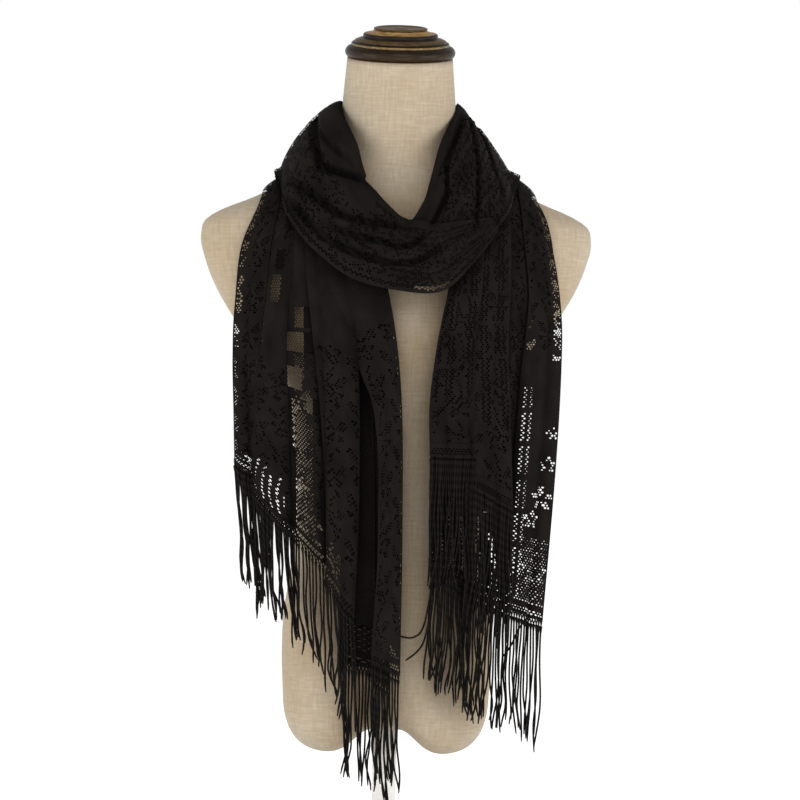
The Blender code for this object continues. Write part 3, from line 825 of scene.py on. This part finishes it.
across, above = np.meshgrid(np.arange(58), np.arange(82))
print("brocade:", round(float((brocade(across, above) > 0).mean()), 2), "of its meshes are open")

# %% Ladders, drawn threads and hems
LADDER_GAP = 5.4               # between a ladder's two columns


def ladder(u, v, middle, gap=LADDER_GAP):
    """Two columns of eyelets side by side."""
    return (np.abs(np.abs(u - middle) - gap / 2) < PITCH / 2) & (v % 33 < 28)


def slits(u, v, apart, wide):
    """Long openings that run up from the hem, as between drawn threads."""
    return (v > 3) & ((u + 3 * np.sin(v / 14)) % apart < wide) & (v < 30 + 26 * (u / apart % 3))


def hem_border(v, holes, eyelets):
    """The border above the hem: eyelets between two closed lines."""
    border = np.where(v < 8, eyelets, np.where(v < 11, 0, np.where(v < 15, EYELET, holes)))
    return np.where(v < 2, 0, border)


# %% [markdown]
# ### The pleats of the tails
#
# A tail is gathered into long pleats, so its cloth lies in overlapping panels. Each panel covers its own
# share of the width, which moves as it runs down, stands a little in front of or behind the next one, and
# ends in its own stretch of the hem. That is why the left hem steps down from the outside to the middle.
# The left tail has six panels, the right one three, and the fold in front of it two.

# %% Panels of the tails
# Rows: place along the tail, the panel's two edges as shares of the tail's width, how far out it stands.
# Rise: how far its two edges are lifted at the hem. Lined: where it has cloth behind it, as shares from
# edge to edge and from top to hem.
LEFT_PANELS = {
    "outer": {
        "rows": [(0.0, 0.0, 0.30, 0), (0.2, 0.0, 0.25, 1), (0.5, 0.0, 0.22, 2), (0.75, 0.0, 0.16, 2),
                 (1.0, 0.0, 0.14, 2)],
        "rise": (14, 20),
        "lined": [(0.28, 1.0, 0.0, 0.955)],
    },
    "second": {
        "rows": [(0.0, 0.22, 0.5, 0), (0.42, 0.17, 0.395, 0), (0.6, 0.13, 0.35, 0.5), (1.0, 0.10, 0.36, 1)],
        "rise": (9, 14),
        "lined": [(0.0, 0.3, 0.0, 0.66), (0.75, 1.0, 0.0, 0.5), (0.3, 0.75, 0.46, 0.5),
                  (0.0, 1.0, 0.66, 0.91)],
    },
    "third": {
        "rows": [(0.0, 0.36, 0.66, -1), (0.42, 0.31, 0.62, -1.5), (0.6, 0.31, 0.58, -1),
                 (1.0, 0.32, 0.56, 0)],
        "rise": (14, 16),
        "lined": [(0.0, 1.0, 0.0, 0.4), (0.53, 1.0, 0.4, 0.7), (0.72, 1.0, 0.7, 0.93)],
    },
    "fourth": {
        "rows": [(0.0, 0.53, 0.8, -1), (0.42, 0.475, 0.80, 1), (0.6, 0.51, 0.78, 3), (1.0, 0.57, 0.72, 4)],
        "rise": (12, -4),
        "lined": [(0.0, 1.0, 0.0, 0.93)],
    },
    "deep": {
        "rows": [(0.0, 0.7, 0.95, -2), (0.42, 0.66, 0.95, -3), (0.7, 0.66, 0.94, -12),
                 (1.0, 0.64, 0.94, -12)],
        "rise": (-56, -34),
        "lined": [(0.0, 0.5, 0.0, 0.95), (0.5, 1.0, 0.0, 0.88)],
    },
    "inner": {
        "rows": [(0.0, 0.75, 1.0, 1), (0.42, 0.58, 1.0, 3), (0.60, 0.72, 1.0, 4), (0.72, 0.85, 1.0, 5),
                 (0.85, 0.87, 1.0, 5), (1.0, 0.84, 1.0, 4)],
        "rise": (-26, -9),
        "lined": [(0.0, 0.93, 0.0, 0.96)],
    },
}
RIGHT_PANELS = {
    "outer": {
        "rows": [(0.0, 0.0, 0.3, 0), (0.42, 0.0, 0.29, 1.5), (0.7, 0.0, 0.35, 1.5), (1.0, 0.0, 0.36, 1.5)],
        "rise": (-3, -10),
        "lined": [(0.25, 1.0, 0.0, 0.55), (0.25, 0.72, 0.55, 0.68)],
    },
    "second": {
        "rows": [(0.0, 0.22, 0.6, -1), (0.42, 0.26, 0.56, -1), (0.7, 0.33, 0.6, -1),
                 (1.0, 0.345, 0.72, -1)],
        "rise": (-9, -14),
        "lined": [(0.0, 1.0, 0.0, 0.86)],
    },
    "inner": {
        "rows": [(0.0, 0.5, 1.0, 0), (0.42, 0.48, 1.0, 0), (1.0, 0.66, 1.0, 0)],
        "rise": (-8, -3),
        "lined": [(0.0, 0.93, 0.0, 0.55), (0.0, 1.0, 0.55, 0.86)],
    },
}
FRONT_PANELS = {
    "outer": {
        "rows": [(0.0, 0.0, 0.6, 0), (1.0, 0.0, 0.58, 0)],
        "rise": (-3, -10),
        "lined": [(0.0, 1.0, 0.0, 0.98)],
    },
    "inner": {
        "rows": [(0.0, 0.5, 1.0, 1), (1.0, 0.44, 1.0, 1)],
        "rise": (24, -7),
        "lined": [(0.0, 1.0, 0.0, 0.98)],
    },
}

print("panels:", len(LEFT_PANELS), "left,", len(RIGHT_PANELS), "right,", len(FRONT_PANELS), "in front")

# %% Chart of the left tail
# Panes of net, by panel. Columns: left and right edge from the panel's own edge, lower and upper edge
# above the hem, hole.
PANES = {
    "second": [
        (20, 29, 268, 287, NET),
        (17, 27, 239, 263, NET),
    ],
    "third": [
        (14, 32, 227, 249, PANE),
        (5, 35, 200, 223, PANE),
        (13, 33, 188, 197, TULLE),
        (2, 20, 161, 184, PANE),
        (25, 37, 141, 156, PANE),
        (14, 25, 98, 138, TULLE),
    ],
}
# How far openwork runs up from the hem of the second panel, the third and the deep one.
DRAWN_HIGH = 56
TULLE_HIGH = 128
DEEP_HIGH = 74


def place_panes(name, holes, u, v):
    """The holes, with the panel's panes of net among them."""
    for left, right, low, high, hole in PANES.get(name, []):
        holes = np.where((u > left) & (u < right) & (v > low) & (v < high), hole, holes)
    return holes


def third_chart(t, w, u, v):
    """Tulle with closed rings of flowers, a column of rungs beside it, and panes of net above."""
    bloom = petals(*repeat(u - 6, v + 9, 26, 46), 14)
    tulle = np.where(bloom > 0.7, 0, pulled(u, v, 0.3, 0.8))
    tulle = np.where(bloom > 0.95, pulled(u, v, 0.1, 0.55), tulle)
    holes = np.where(w > 0.6, brocade(u, v), 0)
    holes = np.where((v < TULLE_HIGH) & (t < 0.8), tulle, holes)
    rungs = (u > 8) & (u < 13) & (v > 96) & (v < 150) & (v % 10 > 2.5)
    holes = np.where(rungs, DOT, np.where(u < 13, 0, hem_border(v, holes, DOT)))
    return place_panes("third", holes, u, v)


def left_chart(name, t, w, u, v):
    """Holes of the left tail: lace at the outside, plain cloth at the top, net low in the deep pleat."""
    if name == "third":
        return third_chart(t, w, u, v)
    if name == "second":
        holes = np.where((t > 0.35) & (w > 0.48) & (w < 0.68), 0, brocade(u + 10, v + 20))
        threads = np.where(slits(u, v, 7, 1.8), pulled(u, v, 0.2, 0.8), 0)
        return np.where(v < DRAWN_HIGH, threads, place_panes(name, holes, u, v))
    if name == "outer":
        edge = np.where(w < 0.62, lacy(u + 4, v), 0.45 * brocade(u + 4, v))
        holes = np.where(t < 0.27, edge, np.where(t > 0.36, brocade(u, v), 0))
    elif name == "fourth":
        holes = np.where(w > 0.62, brocade(u, v), 0)
    elif name == "inner":
        holes = np.where(w > 0.58, brocade(u + 8, v), 0)
    else:
        tulle = np.where(open_flower(u - 12, v - 46, 15), DOT, 0.3)
        holes = np.where(v < DEEP_HIGH, tulle, 0)
    return hem_border(v, holes, TULLE if name in ("outer", "deep") else DOT)


# %% Charts of the right tail
# Open flowers in the outer panel. Columns: place across and above the hem, radius.
OPEN_FLOWERS = [(12, 110, 12), (21, 90, 9), (8, 142, 8), (5, 172, 7)]
# How far openwork runs up from the hem: slits, the outer panel's tulle and its ladder.
SLITS_HIGH = 84
ROSETTE_HIGH = 74
LADDER_HIGH = 218


def outer_chart(t, w, u, v):
    """Open flowers above a rosette of tulle, with a ladder of eyelets beside them."""
    holes = np.where((t > 0.3) & (w < 0.6), brocade(u, v), 0)
    holes = np.where((t < 0.25) & (w < 0.62), lacy(u + 6, v), holes)
    for across, above, radius in OPEN_FLOWERS:
        holes = np.where(open_flower(u - across, v - above, radius), pulled(u, v, 0.3, 0.75), holes)
    rosette = petals(u - 15, v - 42, 14)
    ring = (rosette > 0.7) & (rosette < 0.95)
    tulle = np.where(ring, pulled(u, v, 0.2, 0.65), pulled(u, v, 0.0, 0.32))
    holes = np.where((v > 14) & (v < ROSETTE_HIGH) & (t < 0.75), tulle, holes)
    dots = pulled(u, v, 0.2, 0.5) + 0.08 * np.sin(v / 22)
    holes = np.where((v < LADDER_HIGH) & ladder(u, v, u.max() - 7), dots, holes)
    return hem_border(v, holes, pulled(u, v, 0.2, 0.6))


def right_chart(name, t, w, u, v):
    """Holes of the right tail's layer behind: brocade above long slits, lace at the inner edge."""
    if name == "outer":
        return outer_chart(t, w, u, v)
    lace_edge = (name == "inner") & (t > 0.88) & (w < 0.55)
    holes = np.where(lace_edge, lacy(u, v), brocade(u + 6, v + 12))
    drawn = np.where(slits(u, v, 13, 3 if name == "inner" else 4), pulled(u, v, 0.4, 0.95), 0)
    return hem_border(v, np.where(v < SLITS_HIGH, drawn, holes), 0.3)


def front_chart(name, t, w, u, v):
    """Holes of the fold in front: brocade and three ladders that sway a little."""
    sway = 5 * np.sin(v / 50)
    columns = ladder(u + sway, v, 10) | ladder(u + sway, v, 30) | ladder(u + sway, v, 44)
    return hem_border(v, np.where(columns & (v > 60), BIG_DOT, brocade(u, v + 8)), DOT)


# %% Panels on a surface
PLEAT_CROWN = 1.5              # how far a pleat's middle stands out
RISE_START = 0.5               # place along a tail below which the hem's slant begins


def spread(panel):
    """How wide a panel is once the cloth that lies double behind it is laid out beside it."""
    doubled = sum((last - first) * (low - top) for first, last, top, low in panel["lined"])
    return panel["size"][0] * (1 + doubled)


def flat_size(place, stops):
    """The mean width of a panel's cloth at some stops along it, and its length down the middle."""
    steps = np.linspace(0, 1, 60)
    runs = [place(steps, np.full(60, stop)) for stop in stops] + [place(np.full(60, 0.5), steps)]
    *widths, length = [np.linalg.norm(np.diff(run, axis=0), axis=1).sum() for run in runs]
    return sum(widths) / len(widths), length


def panel_places(surface, panel):
    """The function that places a panel's stitches on a tail's surface, and the panel's flat size."""
    grid, normals = surface
    even, long = even_places(grid)
    rows = np.array(panel["rows"], float)
    left_rise, right_rise = panel["rise"]

    def place(t, w, behind=0.0):
        """Points of the panel in millimetres, from places across and along it."""
        s = np.interp(w, even, np.linspace(0, 1, len(even)))
        first, last, out = spline(rows[:, 0], rows[:, 1:], s).T
        f = first + (last - first) * t
        crown = out + PLEAT_CROWN * (4 * t * (1 - t)) ** 0.7 - behind
        points = read_grid(grid, s, f) + read_grid(normals, s, f) * crown[:, None]
        opened = np.clip((s - RISE_START) / (1 - RISE_START), 0, 1) ** 1.5
        points[:, 2] += opened * (left_rise + (right_rise - left_rise) * t)
        return points

    return place, flat_size(place, (0.15, 0.35, 0.55, 0.75, 0.95))


def tail_lace(name, surface, panels, chart):
    """A tail's lace, the width and length it was cut to, and its panels for the fringe."""
    made = []
    start = 0.0
    for label, panel in panels.items():
        place, size = panel_places(surface, panel)
        made.append({"place": place, "size": size, "start": start, "lined": panel["lined"],
                     "chart": lambda t, w, u, v, label=label: chart(label, t, w, u, v)})
        start += spread(made[-1])
    piece = knit_panels(name, made, lace)
    lengths = [panel["size"][1] for panel in made]
    return piece, (start, sum(lengths) / len(lengths)), made


# %% Knit the tails
left_surface = tail_surface(LEFT)
right_surface = tail_surface(RIGHT)
front_surface = tail_surface(FRONT)
left_tail, left_flat, left_made = tail_lace(
    "tail_left_lace", left_surface, LEFT_PANELS, left_chart)
right_tail, right_flat, right_made = tail_lace(
    "tail_right_lace", right_surface, RIGHT_PANELS, right_chart)
front_fold, front_flat, front_made = tail_lace(
    "fold_right_lace", front_surface, FRONT_PANELS, front_chart)
hand_in(left_tail, "lace", "tail_left")
hand_in(right_tail, "lace", "tail_right")
hand_in(front_fold, "lace", "fold_right")

# %% [markdown]
# ### The loop
#
# Round the neck the cloth is bunched into soft ridges that start at the shoulders and fan out over the
# chest. The front is two sheets: the right side comes down from the neck first, and the swag from the left
# shoulder passes over it.

# %% Folds of the loop
# Rows: half width, depth, then the places round and across that the fold passes through.
LOOP_FOLDS = [
    (0.07, 9.0, (0.00, 0.30), (0.07, 0.36), (0.12, 0.44), (0.15, 0.31), (0.20, 0.03)),
    (0.05, 4.0, (0.04, 0.27), (0.10, 0.25), (0.16, 0.12)),
    (0.07, 7.0, (0.08, 0.79), (0.20, 0.54), (0.30, 0.12)),
    (0.06, 6.0, (0.20, 0.70), (0.28, 0.45), (0.36, 0.38)),
    (0.06, 6.0, (0.11, 0.89), (0.21, 0.82), (0.28, 0.69), (0.36, 0.60)),
    (0.06, 6.0, (0.37, 0.32), (0.44, 0.31), (0.47, 0.16), (0.58, 0.09)),
    (0.05, 5.0, (0.45, 0.80), (0.53, 0.45), (0.60, 0.15)),
    (0.06, 6.0, (0.54, 0.84), (0.55, 0.69), (0.58, 0.47), (0.61, 0.20)),
    (0.06, 5.0, (0.62, 0.30), (0.72, 0.38), (0.82, 0.24)),
    (0.06, 5.0, (0.66, 0.70), (0.80, 0.60), (0.96, 0.72)),
    (0.05, 4.0, (0.84, 0.45), (0.92, 0.40), (0.99, 0.46)),
]
loop_grid, loop_normals = loop_surface()


def fold_depth(a, v):
    """How deep the loop's folds are at each place."""
    depth = np.zeros(len(a))
    for half, deepest, *path in LOOP_FOLDS:
        rounds, acrosses = zip(*path)
        line = np.interp(a, rounds, acrosses)
        ends = np.clip(np.minimum(a - rounds[0] + 0.03, rounds[-1] + 0.03 - a) / 0.05, 0, 1)
        depth += deepest * ends * trough((v - line) / half)
    return depth


# %% Panels of the loop
# Rows: place round, upper and lower edge as places across the loop, how far out the panel stands.
LOOP_PANELS = {
    "wrap": {
        "rows": [(0.29, 0.02, 0.85, -2), (0.40, 0.0, 0.94, -2), (0.48, 0.0, 0.99, -1), (0.60, 0.0, 1.0, 0)],
        "lined": [(0.0, 1.0, 0.0, 1.0)],
    },
    "swag": {
        "rows": [(0.00, 0.0, 1.0, 0), (0.20, 0.0, 1.0, 1), (0.31, 0.0, 1.0, 2), (0.36, 0.25, 1.0, 2),
                 (0.42, 0.56, 1.0, 2), (0.485, 0.90, 1.0, 1)],
        "lined": [(0.0, 0.93, 0.0, 1.0), (0.93, 1.0, 0.0, 0.68)],
    },
    "back": {
        "rows": [(0.60, 0.0, 1.0, 0), (1.00, 0.0, 1.0, 0)],
        "lined": [(0.0, 1.0, 0.0, 1.0)],
    },
}


def loop_panel(panel, chart, start):
    """A panel of the loop, with the places of its stitches; start is where its cut begins."""
    rows = np.array(panel["rows"], float)
    first_place, last_place = rows[0, 0], rows[-1, 0]

    def place(t, w, behind=0.0):
        """Points of the panel in millimetres, with the loop's folds in them."""
        a = first_place + (last_place - first_place) * w
        upper, lower, out = spline(rows[:, 0], rows[:, 1:], a).T
        v = upper + (lower - upper) * t
        points = read_grid(loop_grid, a, v)
        return points + read_grid(loop_normals, a, v) * (out - fold_depth(a, v) - behind)[:, None]

    size = flat_size(place, (0.1, 0.3, 0.5, 0.7, 0.9))
    return {"place": place, "size": size, "start": start, "chart": chart, "lined": panel["lined"]}


def loop_chart(t, w, u, v):
    """Rows of dashes that run round the neck, between flowers, and eyelets along the lower edge."""
    rows = (u % 12 < 2.4) & (v % 8 < 5) & (v % 70 < 52)
    front = (u % 8 < 2.4) & (v % 9 < 5.6) & (w > 0.58)
    holes = np.where(rows | front, BIG_DOT, brocade(u, v))
    holes = np.where(t < np.where(w < 0.5, 0.34, 0.12), 0, holes)
    return np.where((t > 0.94) & (t < 0.97), 0.8, holes)


# %% Knit the loop
wrap = loop_panel(LOOP_PANELS["wrap"], loop_chart, 0.0)
swag = loop_panel(LOOP_PANELS["swag"], loop_chart, wrap["size"][0])
back = loop_panel(LOOP_PANELS["back"], loop_chart, 0.0)
loop_front = hand_in(knit_panels("loop_front_lace", [wrap, swag], lace), "lace", "loop_front")
loop_back = hand_in(knit_panels("loop_back_lace", [back], lace), "lace", "loop_back")

# %% [markdown]
# ## Knotted fringe
#
# Cords are drawn through the eyelets of the hem in pairs and knotted just under it. Each is about 1.9 mm
# thick and 110 to 130 mm long, twisted, and no two hang alike: neighbours cling together in locks that
# part from one another, sway and kink, and end at different heights. A few strays flick across to the
# next cloth.

# %% Cords as tubes
CORD_RADIUS = 0.95
CORD_SIDES = 6
CORD_POINTS = 18
SIDE_WIDTH = 0.8               # of one side of a cord, on the flat


def tubes(paths, radii):
    """Round cords along paths of equal numbers of points; points, faces and flat places."""
    paths = np.asarray(paths)
    number, points = paths.shape[:2]
    tangent = np.gradient(paths, axis=1)
    tangent /= np.linalg.norm(tangent, axis=2, keepdims=True)
    side = np.cross(tangent, (0, 1, 0))
    side /= np.linalg.norm(side, axis=2, keepdims=True)
    other = np.cross(tangent, side)
    turns = np.arange(CORD_SIDES) * 2 * math.pi / CORD_SIDES
    ring = side[:, :, None] * np.cos(turns)[:, None] + other[:, :, None] * np.sin(turns)[:, None]
    skin = paths[:, :, None] + ring * np.asarray(radii)[None, :, None, None]
    steps = np.linalg.norm(np.diff(paths, axis=1), axis=2)
    travelled = np.concatenate([np.zeros((number, 1)), np.cumsum(steps, axis=1)], axis=1)
    rounds = np.arange(CORD_SIDES)[None, None] * SIDE_WIDTH
    uv = np.stack(np.broadcast_arrays(rounds, travelled[:, :, None]), axis=3)
    faces = []
    for cord_number in range(number):
        base = cord_number * points * CORD_SIDES
        for i in range(points - 1):
            for k in range(CORD_SIDES):
                a = base + i * CORD_SIDES + k
                b = base + i * CORD_SIDES + (k + 1) % CORD_SIDES
                faces.append((a, b, b + CORD_SIDES, a + CORD_SIDES))
        faces.append([base + k for k in range(CORD_SIDES)][::-1])
        faces.append([base + (points - 1) * CORD_SIDES + k for k in range(CORD_SIDES)])
    return skin.reshape(-1, 3), faces, uv.reshape(-1, 2)


# %% One cord
KNOT_DROP = 5.0                # from the hem to the knot
FULL_TURN = 6.28               # of the phase of a sway
chance = np.random.default_rng(5)


def cord_path(root, drift, lock, member, members):
    """One cord from its root: the lock's own sway, the cord's place in it, and its kinks."""
    share = np.linspace(0, 1, CORD_POINTS)
    gather = (members / 2 - member) * 1.6
    kink = chance.normal(0, 1.1, 3)
    sway = lock["sway"] * np.sin(share * 5 + lock["phase"])
    x = (drift + lock["lean"]) * share + gather * share ** 1.2 + sway * share
    for number, bend in enumerate(kink):
        x += bend * np.sin(share * (5 + 4 * number) + chance.random() * FULL_TURN) * share
    x += chance.normal(0, 2.2) * np.clip(share - 0.75, 0, 1) * 4
    y = chance.normal(0, 1.0) + chance.normal(0, 1.6) * np.sin(share * 3) * share
    z = -KNOT_DROP - (lock["long"] + chance.normal(0, 4)) * share
    return root + np.stack([x, y, z], axis=1)


# %% A fringe
def fringe(name, panels, spacings, lean, long, replaced, strays=()):
    """The fringe of a tail's panels. Lean is how far the outer and the inner cords drift sideways."""
    paths = []
    legs = []
    for number, (panel, spacing) in enumerate(zip(panels, spacings)):
        t = np.linspace(0.01, 0.99, 30)
        hem = panel["place"](t, np.ones(30))
        run = np.concatenate([[0], np.cumsum(np.linalg.norm(np.diff(hem[:, [0, 2]], axis=0), axis=1))])
        count = max(3, round(run[-1] / spacing))
        step = 0
        while step < count:
            members = min(int(chance.integers(2, 6)), count - step)
            lock = {
                "lean": chance.normal(0, 1.9),
                "sway": chance.normal(0, 2.2),
                "phase": chance.random() * FULL_TURN,
                "long": long + chance.normal(0, 5),
            }
            for member in range(members):
                share = (step + member + 0.5) / count
                t_root = np.interp(share * run[-1], run, t)
                root = panel["place"](np.array([t_root]), np.array([1.0]))[0]
                drift = lean[0] + (lean[1] - lean[0]) * math.sqrt((number + share) / len(panels))
                paths.append(cord_path(root, drift, lock, member, members))
                for side in (-0.5, 0.5):
                    t_leg = np.clip(t_root + side / count, 0.01, 0.99)
                    start = panel["place"](np.array([t_leg]), np.array([0.995]))[0]
                    legs.append(start + (paths[-1][0] - start) * np.linspace(0, 1, 4)[:, None])
            step += members
    for points in strays:
        paths.append(spline(np.linspace(0, 1, len(points)), points, np.linspace(0, 1, CORD_POINTS)))
    radii = np.full(CORD_POINTS, CORD_RADIUS)
    radii[0] *= 1.7            # the knot
    radii[-1] *= 0.6           # the trimmed end
    points, faces, uv = tubes(paths, radii)
    leg_points, leg_faces, leg_uv = tubes(legs, np.full(4, CORD_RADIUS * 0.7))
    faces += [[i + len(points) for i in face] for face in leg_faces]
    points = np.concatenate([points, leg_points])
    piece = make_piece(name, points, faces, cord, np.concatenate([uv, leg_uv]))
    print(name, "-", len(paths), "cords")
    return hand_in(piece, "lace", replaced)


# %% Knot the fringes
# Strays of the right tail's fringe, from root to end.
STRAYS = [
    [(43, -110, 262), (36, -112, 224), (26, -113, 213), (12, -114, 214)],
    [(44, -110, 250), (38, -112, 214), (31, -113, 200), (19, -114, 190)],
    [(140, -70, 234), (131, -73, 222), (124, -74, 206), (116, -75, 194)],
]
# Spacings of the cords, one for each panel.
LEFT_SPACINGS = (1.7, 2.5, 5.0, 4.0, 3.4, 3.2)
RIGHT_SPACINGS = (2.7, 2.3, 2.1)
FRONT_SPACINGS = (2.0, 1.9)
left_fringe = fringe("fringe_left_cords", left_made, LEFT_SPACINGS, (13, 1), 109, "fringe_left")
right_fringe = fringe("fringe_right_cords", right_made, RIGHT_SPACINGS, (-2, -4), 110, "fringe_right",
                      STRAYS)
front_fringe = fringe("fringe_fold_cords", front_made, FRONT_SPACINGS, (-1, -3), 128, "fringe_fold")

# %% [markdown]
# ## Cut sizes
#
# Each stretch of lace is one cloth that hangs freely over the form. Its cut is the width of its panels,
# with the cloth that lies double behind them laid out beside them, by their length.

# %% Cut sizes
def cut(piece, flat):
    """Prints the width and length that a draped piece was cut to."""
    print(piece.name, "was cut", round(flat[0]), "x", round(flat[1]), "mm")


cut(left_tail, left_flat)
cut(right_tail, right_flat)
cut(front_fold, front_flat)
cut(loop_front, (spread(wrap) + spread(swag), (wrap["size"][1] + swag["size"][1]) / 2))
cut(loop_back, (spread(back), back["size"][1]))

# %% [markdown]
# ## Studio
#
# A pale floor that glows faintly, a white band of sky at eye level as from a lit backdrop, and three large
# soft boxes: one at each side, nearly alike, and a third in front and above that fills the folds. The
# upper sky is dimmer, which keeps the tops of the shoulders from burning out.

# %% Floor
FLOOR_RADIUS = 25.0            # in metres, so its edge is lost in the white band of sky
FLOOR_SIDES = 96
opal, tree, shader = new_finish("Backlit opal acrylic", Roughness=0.9, Specular_IOR_Level=0.2,
                                Emission_Strength=0.65, Emission_Color=linear("#ffffff"))
fibres = stretched_noise(tree, add_node(tree, "TexCoord").outputs["Object"], (40, 40, 40)).outputs[0]
pale = add_node(tree, "ValToRGB", {"Fac": fibres}, [(0.3, "#f6f6f5"), (0.7, "#fafaf9")]).outputs[0]
tree.links.new(pale, shader.inputs["Base Color"])
turns = np.linspace(0, 2 * math.pi, FLOOR_SIDES + 1)[:-1]
rim = np.column_stack([np.cos(turns), np.sin(turns), np.zeros(FLOOR_SIDES)]) * FLOOR_RADIUS / MM
floor = make_piece("studio_floor", rim, [list(range(FLOOR_SIDES))], opal, smooth=False)

# %% Sky
# Height of the direction, from level to straight up, and its grey.
SKY = [(0.0, "#ffffff"), (0.22, "#ffffff"), (0.5, "#b0b0b0"), (1.0, "#a4a4a4")]
world = bpy.data.worlds.new("Studio")
bpy.context.scene.world = world
world.use_nodes = True
tree = world.node_tree
direction = add_node(tree, "SeparateXYZ", {0: add_node(tree, "TexCoord").outputs["Generated"]}).outputs[2]
band = add_node(tree, "ValToRGB", {"Fac": direction}, SKY).outputs[0]
tree.links.new(band, tree.nodes["Background"].inputs["Color"])
tree.nodes["Background"].inputs["Strength"].default_value = 1.0

# %% Soft boxes
LIT_HEIGHT = 0.45              # of the point that they face, in metres
# Columns: name, place in metres, size in metres, watts.
LIGHTS = [
    ("left soft box", (-2.6, -1.3, 1.0), 1.6, 23),
    ("right soft box", (2.6, -1.3, 1.0), 1.6, 26),
    ("front soft box", (0.2, -2.9, 2.5), 1.8, 34),
]
for name, place, size, watts in LIGHTS:
    data = bpy.data.lights.new(name, "AREA")
    data.size = size
    data.energy = watts
    lamp = bpy.data.objects.new(name, data)
    bpy.context.scene.collection.objects.link(lamp)
    lamp.location = place
    aim = -np.array([place[0], place[1], place[2] - LIT_HEIGHT])
    lamp.rotation_euler = (math.atan2(np.hypot(aim[0], aim[1]), -aim[2]), 0, math.atan2(-aim[0], aim[1]))
bpy.context.scene.view_settings.view_transform = "Standard"
print("lights:", sum(light[3] for light in LIGHTS), "W in", len(LIGHTS), "soft boxes")
